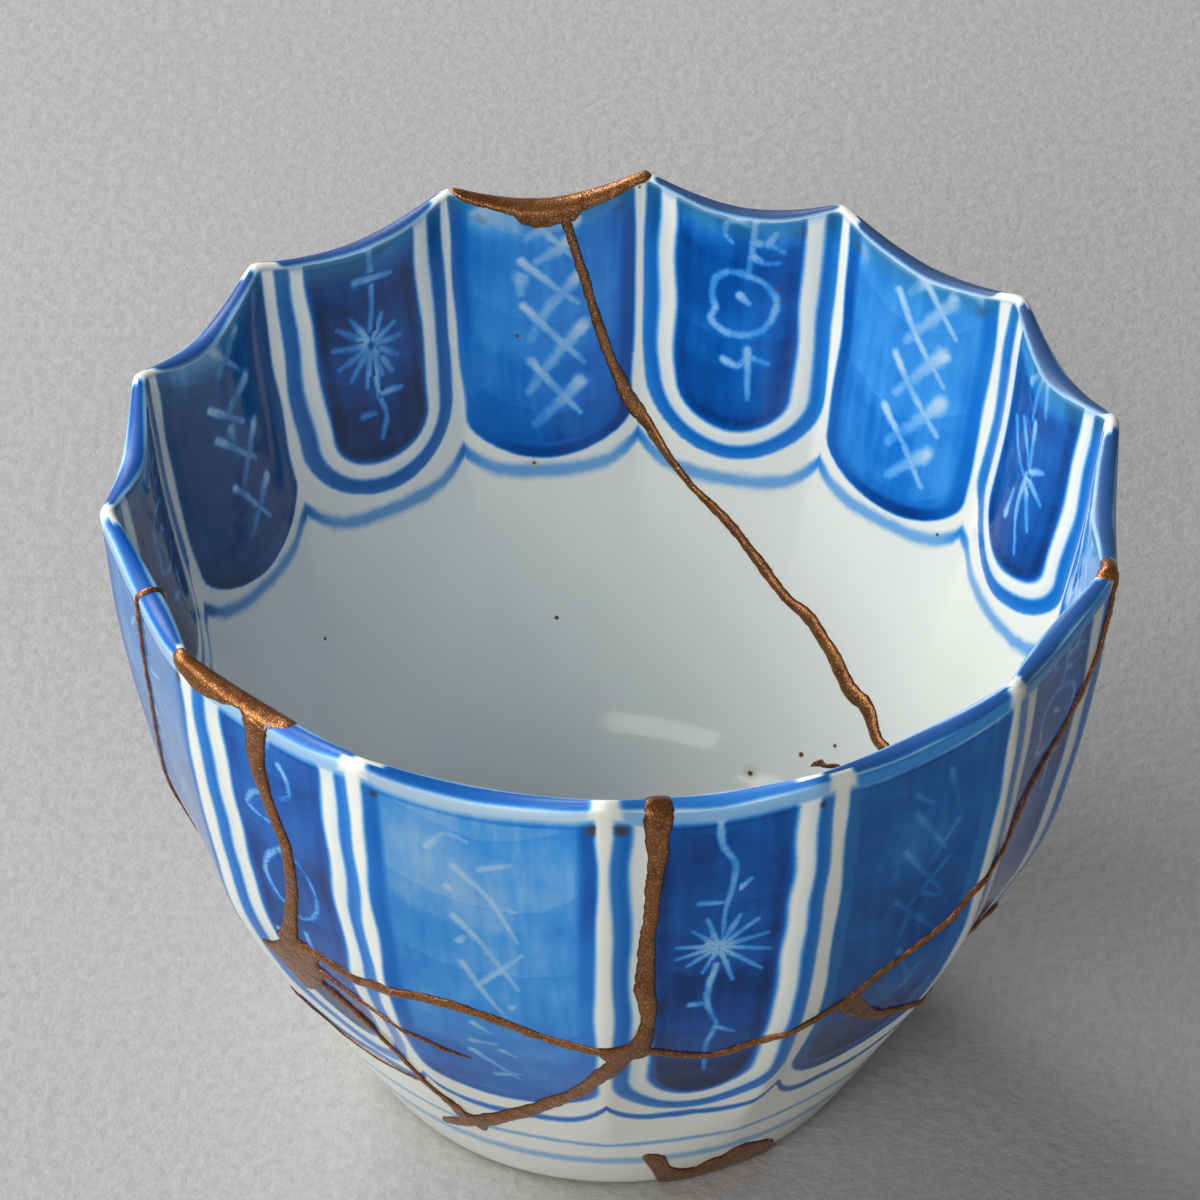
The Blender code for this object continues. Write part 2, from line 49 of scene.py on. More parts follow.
# Sizes of the porcelain, as in the part's source
CUP_HEIGHT = 54.6
RIM_RADIUS = 38.0
LIP_THICKNESS = 1.15
BASE_WALL = 3.0
FLOOR_THICKNESS = 3.5
WELL_FLOOR_RADIUS = 14.0
WELL_CORNER_RISE = 6.5
FOOT_RADIUS = 19.7
FOOT_NECK_RADIUS = 22.0
FOOT_HEIGHT = 4.3
FOOT_RING_WIDTH = 3.2
FOOT_EDGE = 0.45
RECESS_DEPTH = 3.0
FLUTES = 14
FIRST_RIDGE_DEG = 9.7
RIDGE_SHIFT_DEG = (0, -1, 1, -0.5, -2, -0.5, -1.5, -2, -0.5, 1, 2, -0.5, 0.5, -2)
OUTER_FLUTE_DEPTH = 1.15
INNER_FLUTE_DEPTH = 1.9
LIP_SCALLOP = 1.5
WALL_RISE = (0, 0.08, 0.16, 0.26, 0.36, 0.48, 0.62, 0.80, 1)
WALL_REACH = (0, 0.135, 0.275, 0.445, 0.60, 0.76, 0.86, 0.95, 1)
FLUTE_START = 0.08
FLUTE_FULL = 0.38
INNER_FLUTE_START = 0.3
INNER_FLUTE_FULL = 0.66
SCALLOP_START = 0.72

LIP_BASE = CUP_HEIGHT - LIP_THICKNESS / 2
FLOOR_TOP = RECESS_DEPTH + FLOOR_THICKNESS
CORNER_TOP = FLOOR_TOP + WELL_CORNER_RISE
OUTSIDE = 1
INSIDE = -1

# How the fine cup differs from the solid: soft ridges and a hand-made unevenness, inwards only
RIDGE_SOFTNESS = 0.4
UNEVEN_DEPTH = 0.1
# Its waves: size, number round the cup, turns in radians for each millimetre of height, start
UNEVEN_WAVES = ((1.0, 3, 0.09, 0), (0.7, 5, -0.13, 1), (0.5, 11, 0.21, 2))
SKIN_INSET = 0.05
LIP_INSET = 0.2

# How finely the cup is drawn
COLUMNS_PER_FLUTE = 32
RIDGE_CROWDING = 0.25
RECESS_ROWS = 7
FOOT_ROWS = 5
NECK_ROWS = 9
OUTER_ROWS = 92
LIP_ROWS = 9
INNER_PAINTED_ROWS = 46
INNER_PLAIN_ROWS = 17
CORNER_ROWS = 8
FLOOR_ROWS = 10
INNER_PAINT_BOTTOM = 29.0

# The breaks run as in the part's source: angle in degrees, height in hundredths of the cup's height, and
# the width to which the lacquer has spread
FRONT_BREAK = (
    (271.4, 50, 1.2), (273.2, 52, 1.3), (274.1, 56, 1.35), (273.6, 64, 1.75), (273.6, 70, 1.5),
    (274, 78, 1.3), (274.5, 88, 1.5), (274.7, 94, 2.0), (274.7, 98, 2.3),
)
RIGHT_BREAK = (
    (271.4, 50, 1.1), (275, 48, 1.1), (279, 45.5, 1.0), (284, 44.7, 1.0), (291, 49, 0.9), (299.9, 50.2, 1.1),
    (306.8, 54, 0.85), (314.4, 58.4, 0.8), (318, 63.4, 0.8), (323.9, 65.8, 0.75), (327.8, 72, 0.75),
    (335.5, 79, 0.75), (340.2, 87.7, 0.8), (342, 98, 0.9), (342.2, 99.6, 1.0),
)
RIGHT_BRANCH = (
    (299.9, 50.2, 1.3), (302.5, 46.5, 1.4), (307.5, 40.8, 1.3), (312.3, 37.9, 1.1), (320, 36, 0.9),
    (332, 36.5, 0.8), (345, 36, 0.7), (358, 33, 0.7), (372, 30, 0.7), (384, 28.5, 0.8),
)
BACK_BREAK = (
    (384, 28.5, 0.9), (394.6, 28.4, 1.2), (400.8, 31, 1.6), (406, 32.1, 1.6), (416.3, 37.7, 1.3),
    (423, 40, 1.0), (433.8, 49.1, 1.0), (440, 53.8, 0.8), (446.5, 61.7, 1.3), (450.1, 69.8, 1.0),
    (452.5, 78.4, 0.9), (454.4, 88, 0.9), (456.5, 98, 0.9), (456.9, 99.6, 1.0),
)
LEFT_BREAK = (
    (223.4, 50.5, 2.8), (224.6, 54, 1.9), (226.3, 59.2, 1.5), (228.1, 67.8, 1.4), (228.5, 73.4, 1.5),
    (228, 78, 1.5), (226.5, 86, 1.7), (226, 91, 2.0), (226.2, 96, 2.4), (226.4, 99.5, 2.9),
)
LEFT_UPPER_BRANCH = (
    (223.4, 50.5, 1.5), (226.6, 52.8, 1.3), (235.4, 53.1, 1.15), (241.9, 55.9, 1.2), (249.3, 55.1, 1.25),
    (256, 52.7, 1.2), (262.7, 50.5, 1.15), (271.4, 50, 1.2),
)
LEFT_MIDDLE_BRANCH = (
    (223.4, 50.5, 0.8), (227.7, 48.6, 0.7), (232.5, 46.9, 0.55), (241.9, 46, 0.5), (247.1, 41.6, 0.45),
    (250.1, 40.1, 0.3),
)
LEFT_LOWER_BRANCH = (
    (223.4, 50.5, 1.3), (224.2, 46, 1.0), (228.5, 41.6, 0.8), (232.1, 38.1, 0.75), (234.6, 34.4, 0.75),
    (237.1, 31.1, 0.8), (239.3, 26.5, 1.0), (242.2, 23, 1.25), (243.2, 16.2, 1.0),
)
LEFT_THIN_BRANCH = (
    (214, 33.3, 0.3), (217.4, 28.4, 0.3), (220.7, 25, 0.3), (226.1, 23.6, 0.3), (232.5, 24.4, 0.3),
    (239.3, 26.5, 0.3),
)
BOTTOM_ARC = (
    (235.6, 11.8, 0.6), (237.9, 13.2, 1.0), (243.2, 16.2, 1.7), (249.8, 20.7, 2.0), (255.8, 25.1, 1.8),
    (260.7, 30.2, 1.6), (265.2, 36.1, 1.4), (268.3, 43.2, 1.4), (271.4, 50, 1.4),
)
FAR_LEFT_BREAK = (
    (214, 33.3, 0.35), (206, 35, 0.35), (197, 38.5, 0.35), (191, 44, 0.35), (189.5, 52, 0.4),
    (192.2, 60.8, 0.45), (196.1, 71.2, 0.5), (198.7, 80.4, 0.55), (199.8, 92, 0.6), (200.5, 98, 0.7),
)

# Fills of the lip: angle, depth of the lower edge below the lip outside and inside
BACK_FILL = (
    (85.6, 0.4, 0.4), (88, 0.6, 0.6), (91, 0.8, 0.7), (94.3, 0.9, 0.8), (95.2, 1.0, 1.5), (98, 1.0, 1.6),
    (100.5, 1.0, 1.8), (102.3, 1.0, 1.5), (103.2, 0.9, 0.7), (107, 0.7, 0.6), (110.4, 0.4, 0.4),
)
LEFT_FILL = (
    (213.4, 0.4, 0.4), (215, 1.5, 0.6), (217.4, 2.1, 0.7), (219.6, 1.7, 0.7), (221.6, 1.1, 0.7),
    (223, 0.5, 0.7), (224.2, 0.4, 0.8), (225, 1.3, 0.8), (227.8, 1.4, 0.8), (228.6, 0.4, 0.7),
    (230, 0.15, 0.7), (231, 0.1, 0.5),
)
RIGHT_FILL = ((340.2, 0.4, 0.4), (342.3, 0.9, 0.9), (344.6, 0.4, 0.4))
# The fill of the foot: angle, low and high edge as heights
FOOT_FILL = (
    (275.2, 5.9, 6.9), (276.4, 4.6, 6.9), (278.4, 2.1, 6.7), (279.8, 0.1, 6.2), (281.4, 0.1, 3.6),
    (284, 0.1, 2.5), (287.6, 0.1, 2.2), (289.8, 0.1, 3.4), (293, 0.1, 3.7), (294.4, 0.1, 4.8),
    (297, 0.1, 5.0), (299.4, 0.1, 4.4), (303, 0.1, 3.6), (306.8, 0.1, 1.9),
)

# Where lacquer has run together between breaks, as outlines: angle and height
LEFT_POOL = (
    (217.2, 25.6), (220.3, 26.9), (223.6, 28.7), (226.3, 29.8), (228, 29.4), (229.8, 28.9), (228.6, 27.4),
    (228.6, 25.8), (224, 21.9), (220, 20.1), (219.3, 22), (218.4, 24.2),
)
FRONT_POOL = (
    (273.2, 30.6), (272.7, 28.7), (270.9, 28.1), (268.3, 28), (267.3, 27.4), (268.2, 26.5), (269, 25.5),
    (267.9, 23.5), (269.2, 22.6), (271.3, 24.1), (272.5, 25.5), (274.3, 25.6), (274.8, 27.1), (275, 29.8),
)
BOTTOM_POOL = (
    (237.4, 7.2), (240, 8.2), (241.8, 9.3), (241.3, 11), (243.5, 12.4), (244, 11.1), (246, 10.9),
    (248.2, 11.5), (250.7, 12.2), (250.5, 10.3), (247.6, 9.2), (246, 7.8), (244.8, 8.5), (242, 7.9),
)
RIGHT_POOL = (
    (299.4, 27.9), (301.2, 28.1), (302.9, 27.8), (304.1, 26.3), (308.3, 22.9), (311.8, 21), (313.3, 19.2),
    (309.5, 20.4), (306.3, 22.2), (303.8, 24.3), (301.7, 25.9), (299.8, 27),
)
WELL_POOL = (
    (48, 10.9), (46.8, 11.6), (45.5, 12), (44.4, 12), (43.2, 11.9), (41.7, 12.3), (39.6, 12.5), (40.6, 12),
    (43.2, 11.6), (45.5, 11.3),
)

# Blemishes of the glaze: side, angle, height, radius and kind
IRON_SPECK = 1
STAIN = 2
DARK_POOL = 3
BLEMISHES = (
    (-1, 58.8, 9.3, 0.85, STAIN), (-1, 49.7, 11.6, 0.26, IRON_SPECK), (-1, 43.6, 13.3, 0.2, IRON_SPECK),
    (-1, 82, 6.9, 0.2, IRON_SPECK), (-1, 141.3, 22.9, 0.18, IRON_SPECK), (-1, 38.8, 32, 0.16, IRON_SPECK),
    (-1, 101.9, 30.9, 0.5, STAIN), (-1, 100, 18.3, 0.2, IRON_SPECK),
    (-1, 68.6, 47.7, 0.2, IRON_SPECK), (-1, 67.8, 46.3, 0.2, IRON_SPECK), (-1, 103.3, 42, 0.2, IRON_SPECK),
    (-1, 66, 53, 0.7, DARK_POOL), (-1, 58.6, 53, 0.6, DARK_POOL), (-1, 89.6, 53, 0.5, DARK_POOL),
    (-1, 107, 53, 0.5, DARK_POOL), (-1, 38.6, 53, 0.6, DARK_POOL), (-1, 133.6, 53, 0.6, DARK_POOL),
    (1, 270.7, 52.4, 0.7, DARK_POOL), (1, 267.8, 52.4, 0.65, DARK_POOL), (1, 215.1, 52.7, 0.6, DARK_POOL),
    (1, 292.6, 52.2, 0.35, DARK_POOL), (1, 243.5, 52.3, 0.35, DARK_POOL),
)


def smooth_step(value, start, end):
    share = np.clip((value - start) / (end - start), 0, 1)
    return share * share * (3 - 2 * share)


def smooth_curve(place, knots, values):
    """A smooth line through the given values, read at each place."""
    knots = np.asarray(knots, dtype=float)
    values = np.asarray(values, dtype=float)
    slopes = np.gradient(values, knots)
    place = np.clip(place, knots[0], knots[-1])
    span = np.clip(np.searchsorted(knots, place, side="right") - 1, 0, len(knots) - 2)
    width = knots[span + 1] - knots[span]
    share = (place - knots[span]) / width
    rest = 1 - share
    start = values[span] * (1 + 2 * share) * rest ** 2
    end = values[span + 1] * (3 - 2 * share) * share ** 2
    lean = width * share * rest * (slopes[span] * rest - slopes[span + 1] * share)
    return start + end + lean


def smooth_line(places, knots, points):
    """A smooth line through points, read at each place."""
    return np.column_stack([smooth_curve(places, knots, column) for column in np.transpose(points)])


def lengths_along(points):
    """How far along a line each of its points lies."""
    return np.concatenate(([0], np.cumsum(np.linalg.norm(np.diff(points, axis=0), axis=1))))


# The cup's form

def outer_radius(height):
    rise = (height - FOOT_HEIGHT) / (LIP_BASE - FOOT_HEIGHT)
    wall = FOOT_NECK_RADIUS + (RIM_RADIUS - FOOT_NECK_RADIUS) * smooth_curve(rise, WALL_RISE, WALL_REACH)
    foot = FOOT_RADIUS + (FOOT_NECK_RADIUS - FOOT_RADIUS) * np.clip(height / FOOT_HEIGHT, 0, 1)
    return np.where(height < FOOT_HEIGHT, foot, wall)


def wall_thickness(height):
    rise = np.clip((height - FOOT_HEIGHT) / (LIP_BASE - FOOT_HEIGHT), 0, 1)
    return BASE_WALL + (LIP_THICKNESS - BASE_WALL) * rise


def inner_radius(height):
    return outer_radius(height) - wall_thickness(height)


def outer_wall(rows):
    heights = np.linspace(FOOT_HEIGHT, LIP_BASE, rows + 1)
    return np.column_stack((outer_radius(heights), heights))


def inner_wall(top, bottom, rows):
    heights = np.linspace(top, bottom, rows + 1)
    return np.column_stack((inner_radius(heights), heights))


def lip_arc(rows):
    """The round top of the lip, from the outside to the inside, without its two ends."""
    half = LIP_THICKNESS / 2
    turns = np.pi * np.arange(1, rows) / rows
    return np.column_stack((RIM_RADIUS - half + half * np.cos(turns), LIP_BASE + half * np.sin(turns)))


def well_corner(rows):
    """The bend from the inner wall to the floor, without its upper end."""
    top = float(inner_radius(np.array(CORNER_TOP)))
    lean = (top - float(inner_radius(np.array(CORNER_TOP - FOOT_EDGE)))) / FOOT_EDGE
    bend = max(top - lean * WELL_CORNER_RISE, WELL_FLOOR_RADIUS)
    share = np.arange(1, rows + 1) / rows
    rest = 1 - share
    radii = rest * rest * top + 2 * rest * share * bend + share * share * WELL_FLOOR_RADIUS
    return np.column_stack((radii, FLOOR_TOP + rest * rest * WELL_CORNER_RISE))


def straight(start, end, rows):
    """Points along a line, without its start."""
    share = np.arange(1, rows + 1)[:, None] / rows
    return np.array(start) * (1 - share) + np.array(end) * share


def round_off(points, passes=2):
    """Softens the corners of a section, with its two ends kept."""
    points = points.copy()
    for _ in range(passes):
        points[1:-1] = (points[:-2] + 2 * points[1:-1] + points[2:]) / 4
    return points


def fine_section():
    """The cup's half section from the recess's centre up the outside and down to the floor's centre."""
    ring_inside = FOOT_RADIUS - FOOT_RING_WIDTH
    corners = (
        ((0, RECESS_DEPTH), 0),
        ((ring_inside - 2 * FOOT_EDGE, RECESS_DEPTH), RECESS_ROWS),
        ((ring_inside - FOOT_EDGE, RECESS_DEPTH - FOOT_EDGE), 2),
        ((ring_inside, FOOT_EDGE), FOOT_ROWS),
        ((ring_inside + FOOT_EDGE, 0), 2),
        ((FOOT_RADIUS - FOOT_EDGE, 0), FOOT_ROWS),
        ((FOOT_RADIUS + FOOT_EDGE / 4, FOOT_EDGE), 3),
        ((FOOT_NECK_RADIUS, FOOT_HEIGHT), NECK_ROWS),
    )
    runs = [np.array([corners[0][0]], dtype=float)]
    for (start, _), (end, rows) in zip(corners, corners[1:]):
        runs.append(straight(start, end, rows))
    foot = np.concatenate(runs + [outer_wall(OUTER_ROWS)[1:]])
    inside = np.concatenate((
        inner_wall(LIP_BASE, INNER_PAINT_BOTTOM, INNER_PAINTED_ROWS),
        inner_wall(INNER_PAINT_BOTTOM, CORNER_TOP, INNER_PLAIN_ROWS)[1:],
        well_corner(CORNER_ROWS),
        straight((WELL_FLOOR_RADIUS, FLOOR_TOP), (0, FLOOR_TOP), FLOOR_ROWS),
    ))
    return np.concatenate((round_off(foot), lip_arc(LIP_ROWS), round_off(inside)))


def ridge_angles():
    """The ridges' real angles once round, the first ridge again at the end."""
    even = FIRST_RIDGE_DEG + 360 * np.arange(FLUTES + 1) / FLUTES
    return even + np.array(RIDGE_SHIFT_DEG + RIDGE_SHIFT_DEG[:1])


RIDGES = ridge_angles()
FLUTE_WIDTH = 2 * math.pi * RIM_RADIUS / FLUTES


def flute_bow(angle):
    """0 on a ridge, 1 in the middle of a flute, with a soft ridge."""
    turned = RIDGES[0] + (angle - RIDGES[0]) % 360
    place = np.interp(turned, RIDGES, np.arange(FLUTES + 1.0)) % 1
    near = np.minimum(place, 1 - place) * FLUTE_WIDTH
    near = (np.sqrt(near ** 2 + RIDGE_SOFTNESS ** 2) - RIDGE_SOFTNESS) / FLUTE_WIDTH
    return 4 * near * (1 - near)


def unevenness(angle, height):
    """How far the hand-made wall lies inside the even one."""
    turn = np.radians(angle)
    waves, largest = 0, 0
    for size, number, climb, start in UNEVEN_WAVES:
        waves = waves + size * np.sin(number * turn + climb * height + start)
        largest += size
    return SKIN_INSET + UNEVEN_DEPTH * (waves + largest) / (2 * largest)


def press(angle, radius, height):
    """Points of the turned cup after the flutes are pressed in and the lip sags between the ridges."""
    angle, radius, height = np.broadcast_arrays(angle, radius, height)
    bow = flute_bow(angle)
    across = np.clip((outer_radius(height) - radius) / wall_thickness(height), 0, 1)
    share = height / CUP_HEIGHT
    outer = OUTER_FLUTE_DEPTH * smooth_step(share, FLUTE_START, FLUTE_FULL)
    inner = INNER_FLUTE_DEPTH * smooth_step(share, INNER_FLUTE_START, INNER_FLUTE_FULL)
    depth = outer + (inner - outer) * across
    high = smooth_step(share, SCALLOP_START, 1)
    reach = radius - depth * bow - unevenness(angle, height) * np.clip(radius / FOOT_RADIUS, 0, 1)
    turn = np.radians(angle)
    rise = height - (LIP_SCALLOP * bow + LIP_INSET) * high
    return np.stack((reach * np.cos(turn), reach * np.sin(turn), rise), axis=-1)


# Painted panels: what lies between two white gaps, even ones dark and odd ones with a lattice. Steps go from
# the gap's middle inwards, as the materials read them.
STEPS_READ = ((0, 0.7, 1.5, 3.0, 20.0), (0, 0.7, 1.9, 20.0))

# How much stronger the scalloped line is where it meets a gap
CUSP_TONE = 0.22
CUSP_POWER = 10
# How sharply a panel's height goes over to its neighbour's at a gap, and how the brush marks differ by panel
LIFT_POWER = 6
SEED_STEP = 0.618

# Half widths of the strokes in dark panels and of both layers in lattice panels, how the width goes from a
# stroke's start to its end, how much it fades there, and the blob where a thin wash of blue was picked up
FINE_BRUSH = 0.25
ROUND_BRUSH = 0.3
LONG_BRUSH = 0.32
WIDE_BRUSH = 0.5
BRUSH_START = 1.15
BRUSH_END = 0.7
BRUSH_FADE = 0.35
WIDE_STRENGTH = 0.75
BLOB_REACH = 0.8
STROKE_SPANS = 4
# Closed strokes are as wide all round as others are at this share of their length
CLOSED_SHARE = 0.4

# Strokes that are wiped out of the blue, as lines through points: sideways from the panel's middle,
# anticlockwise round the cup, and height. Each motif is two layers that may cross.
CROSSES_BACK = (
    (
        ((2.5, 53.5), (-2.4, 48.4)), ((2, 48.4), (-2.6, 44.4)), ((1.9, 44.4), (-3, 39.2)),
        ((1.5, 39.7), (-2.5, 35)),
    ),
    (
        ((-2.6, 51.7), (0, 51.3), (1.5, 50.4)), ((-2.7, 46.8), (0.6, 43.2), (1.4, 41.6)),
        ((-3, 42.4), (0.3, 39.1), (1.7, 37.1)), ((-2.6, 37.7), (1.3, 34.3)), ((2.1, 46.7), (2.1, 45.6)),
        ((-1.8, 49.8), (0.8, 48.3)),
    ),
)
CROSSES_RIGHT = (
    (
        ((1.8, 50.7), (-0.4, 47.7), (-3.7, 44.4)), ((-0.8, 52.6), (-4.2, 48.9)),
        ((1.3, 45.3), (-0.2, 43.6), (-3.8, 40.1)), ((1.5, 40.5), (-0.2, 39), (-3.3, 35.4)),
    ),
    (
        ((-3.7, 52), (0.5, 46.8)), ((-3.3, 47), (0.7, 42.1)), ((-3.8, 42.9), (0.6, 37.8)),
        ((-3.2, 38.3), (0.1, 35.1)), ((-0.7, 52.7), (0.6, 51.1)),
    ),
)
CROSSES_LEFT = (
    (
        ((1.6, 40.2), (-2, 35.5)), ((2.4, 44.9), (-1.9, 40.8)), ((2.7, 47.8), (-1.3, 44.5)),
        ((1.6, 52.8), (-2.2, 48.6)),
    ),
    (
        ((-2.8, 38.5), (0.9, 35.6)), ((0.5, 44.8), (0.4, 42.5)), ((-2.6, 43.4), (0.8, 39.6)),
        ((-2.7, 47.6), (0.9, 46.2)), ((-2.2, 52.2), (1, 49.8)),
    ),
)
CROSSES_FRONT = (
    (
        ((-2, 46), (0.3, 43.5), (2.4, 38.8)), ((-2.3, 40.7), (-0.8, 38.6), (0.6, 36.2), (2.1, 33.3)),
        ((-2, 35.4), (-0.6, 32.3), (0.9, 29.5)), ((-2.5, 23.6), (-0.6, 21), (0.6, 19.4)),
    ),
    (
        ((-3.9, 47.7), (-2.4, 49.2), (-0.9, 48.7)), ((0, 46.1), (2.3, 47.1)), ((-2.6, 43.8), (-2.3, 43.4)),
        ((2.1, 42.2), (2.4, 42.2)), ((-2.1, 37.9), (-1.7, 38.4)), ((-1, 33), (0.6, 34.8), (2.7, 37.4)),
        ((1.5, 31), (1.8, 31.2)), ((-2.2, 25.2), (-0.4, 25.1)), ((-1.1, 19.6), (1, 20.4)),
        ((-1.8, 28), (-0.6, 26.8)), ((-0.1, 24.2), (0.9, 23.4)),
    ),
)
CROSSES_FRONT_RIGHT = (
    (
        ((-0.4, 46.2), (3, 41)), ((-1, 42.6), (3.4, 36)), ((-1, 37.2), (3.7, 31.6)),
        ((2.3, 49.4), (3.3, 45.9)), ((0.4, 31), (2.4, 26.6)),
    ),
    (
        ((3.6, 43.6), (1.3, 39.3)), ((3.4, 39.8), (0, 35.8)), ((0.6, 35.2), (0, 32.2)),
        ((1.6, 36.9), (3.3, 35.6)), ((2.4, 24.8), (3.2, 27.8)), ((-0.6, 48.2), (1, 46.6)),
    ),
)
PLUM = (
    (
        ((1.6, 47.5), (0.4, 48), (-1, 47.8), (-2.4, 47.2), (-3.3, 46), (-3.2, 44.8), (-2.6, 43.5),
         (-1.2, 42.7), (0.1, 42.6), (1.3, 42.9), (2.1, 43.6), (1.8, 44.6), (2.1, 45.8), (1.6, 47.5)),
        ((0.2, 52.6), (1.1, 52.2), (1.2, 51.2), (0.6, 50.6)), ((-1.2, 50.8), (-2.4, 50.8), (-3.7, 50.2)),
        ((-1.2, 41.4), (-1.5, 37.2)), ((-1.3, 49.5), (-2.3, 49.1), (-3.4, 49.3)),
    ),
    (
        ((-1.2, 54), (-1.2, 52), (-0.9, 48.2)), ((-0.3, 46), (-1.1, 45.4)), ((0.2, 52.6), (-1, 52.2)),
        ((0.8, 40.3), (-0.5, 40), (-1.3, 40.7), (-2.9, 40.4)), ((-2.4, 50.8), (-3, 51.8)),
    ),
)
OVALS = (
    (
        ((-0.8, 40), (-2.2, 38.6), (-3, 36.4), (-2.6, 34.6), (-1.6, 33.4), (-0.4, 32.8), (0.8, 33.4),
         (1.9, 35), (2.2, 36.8), (1.6, 38.8), (0.5, 40)),
        ((0.6, 49.4), (1.3, 48.2), (1.2, 46.6), (0.2, 45.9)),
    ),
    (
        ((-1.1, 45.4), (-2.2, 45.2), (-3.4, 43.5), (-1.2, 42.6), (-0.2, 43)), ((-3.4, 29.4), (-2, 28.9)),
        ((-0.2, 31), (0.2, 27.4)), ((-0.2, 53), (-0.4, 50.6)),
    ),
)
NEEDLES = (
    (
        ((2.2, 47.4), (0.6, 45.6), (-0.4, 44.3)), ((-0.5, 44.4), (-2.3, 45.4)),
        ((-0.2, 43.8), (0.1, 41), (-1.2, 37.4)), ((-0.2, 53.8), (0.7, 50.8), (0.8, 48.4)),
        ((1.6, 39.2), (1.3, 41.6)),
    ),
    (
        ((0.2, 48.4), (-0.1, 46), (-0.4, 44.2)), ((3.6, 46.6), (2.1, 44.6), (0.4, 43.6)),
        ((-0.5, 43.8), (-2.8, 42.8)), ((-0.6, 42.8), (-2, 40)), ((2.1, 51.1), (-0.1, 53.5)),
        ((-0.5, 52.5), (-1.1, 49.8)),
    ),
)

# Bursts of needles: middle, and the needles' tips
BACK_BURST = (
    (0, 44.6),
    ((3.5, 45.1), (3.1, 43.4), (2.3, 42.1), (0.9, 41.2), (-0.6, 41.8), (-2.3, 42.9), (-2.9, 44.4),
     (-2.4, 45.7), (-1.3, 46.9), (1.6, 47.3), (2.9, 46.8), (-1.7, 41.7)),
)
BACK_BURST_STEM = (
    (((-0.6, 53.4), (-0.6, 50), (-0.4, 47.5), (0, 45.8)), ((0.9, 50.4), (-2.6, 50.1)),
     ((1.6, 38.9), (0.5, 38.8))),
    (((-0.1, 43.2), (-0.1, 40), (-0.5, 38.4), (0.2, 36.6)), ((-0.4, 40.3), (-2.3, 40.1))),
)
FRONT_BURST = (
    (0.2, 38.2),
    ((-3, 38.7), (-1.8, 40.2), (-0.8, 41.4), (1.6, 41.6), (2.9, 41), (3.7, 39.4), (3.9, 37.6), (3.4, 35.4),
     (1.4, 34.3), (-0.9, 35.4), (-2.1, 36.4), (-2.9, 37.4)),
)
FRONT_BURST_STEM = (
    (((-0.2, 52), (0, 49.2), (1, 47), (0.8, 44.4), (0.5, 42.6), (0.4, 39.4)), ((1.4, 44.5), (2.2, 45.4)),
     ((-1.6, 31.8), (-0.3, 31.8)), ((0.5, 28.6), (1.9, 27.8)), ((-0.7, 38.6), (1.1, 38.2)),
     ((-0.4, 37.6), (0.9, 37.3)), ((-0.3, 39.5), (0.9, 39.3))),
    (((-1.4, 43.2), (0.4, 43.1)),
     ((0.1, 36.2), (-0.4, 33.3), (-0.3, 31.5), (0.5, 28.8), (0.1, 27), (0.3, 21.8))),
)


def burst(middle, tips, stem, hollow):
    """Needles from a middle to their tips, in two layers by turns, with the stems above and below."""
    layers = [list(stem[0]), list(stem[1])]
    for index, tip in enumerate(tips):
        start = tuple((1 - hollow) * near + hollow * far for near, far in zip(middle, tip))
        layers[index % 2].append((start, tip))
    return layers


def mirrored(motif):
    return [[tuple((-x, height) for x, height in stroke) for stroke in layer] for layer in motif]


FRONT = burst(*FRONT_BURST, FRONT_BURST_STEM, 0.06)
BACK = burst(*BACK_BURST, BACK_BURST_STEM, 0.2)

# The paint of each side: how far the middle of each white gap lies from its ridge, a panel's own steps, the
# lowest point of its edge and the height of its round corners (dark and lattice), how much higher it is
# painted and how strong its blue is. That strength differs at random, and on the panels turned away from the
# key light (inside 4 to 7, outside 11) its stronger blue is painted shade. Then the thin line under the
# panels: its height in a panel's middle and at a gap, how it rises, its tone and half width, and the height,
# half width and tone of even rings under it. Last the brushes of both layers, the panels with fainter
# strokes, and the motifs, where those that the photograph hides repeat the others.
OUTER_PAINT = SimpleNamespace(
    gap_shift=(0, 0.3, -0.4, 0.2, -0.3, 0.5, 0, -0.3, 0.8, -0.7, 0, 1.9, 0, 0.4),
    steps=((0, 0.8, 1.7, 3.7, 20.7), (0, 0.75, 1.95, 20.05)),
    bottom=(14.3, 14.9),
    corner=(8.0, 5.5),
    lift=(0.2, 0, 0.3, 0.2, 0, 0.3, 0.2, 0, 0, 0, 0, 0.1, 0.3, 0.2),
    # The stronger blue of panel 11 is painted shade
    tone=(0, 0.02, 0, 0.04, 0.02, -0.03, 0, -0.06, 0, -0.12, 0.02, 0.1, -0.04, 0),
    line_low=(14.0, 13.1),
    line_high=17.3,
    line_power=4.0,
    line_tone=0.66,
    line_half_width=0.45,
    rings=((9.0, 0.34, 0.31), (5.6, 0.62, 0.28)),
    brushes=((FINE_BRUSH, FINE_BRUSH), (FINE_BRUSH, FINE_BRUSH)),
    faint={1: 0.45, 3: 0.75, 5: 0.45, 7: 0.75, 9: 0.75, 11: 0.38, 13: 0.75},
    seed=0,
    motifs=(
        FRONT, CROSSES_FRONT_RIGHT, OVALS, CROSSES_FRONT, mirrored(PLUM), mirrored(CROSSES_FRONT_RIGHT),
        FRONT, CROSSES_FRONT, OVALS, CROSSES_FRONT, FRONT, CROSSES_FRONT_RIGHT, mirrored(PLUM),
        mirrored(CROSSES_FRONT),
    ),
)
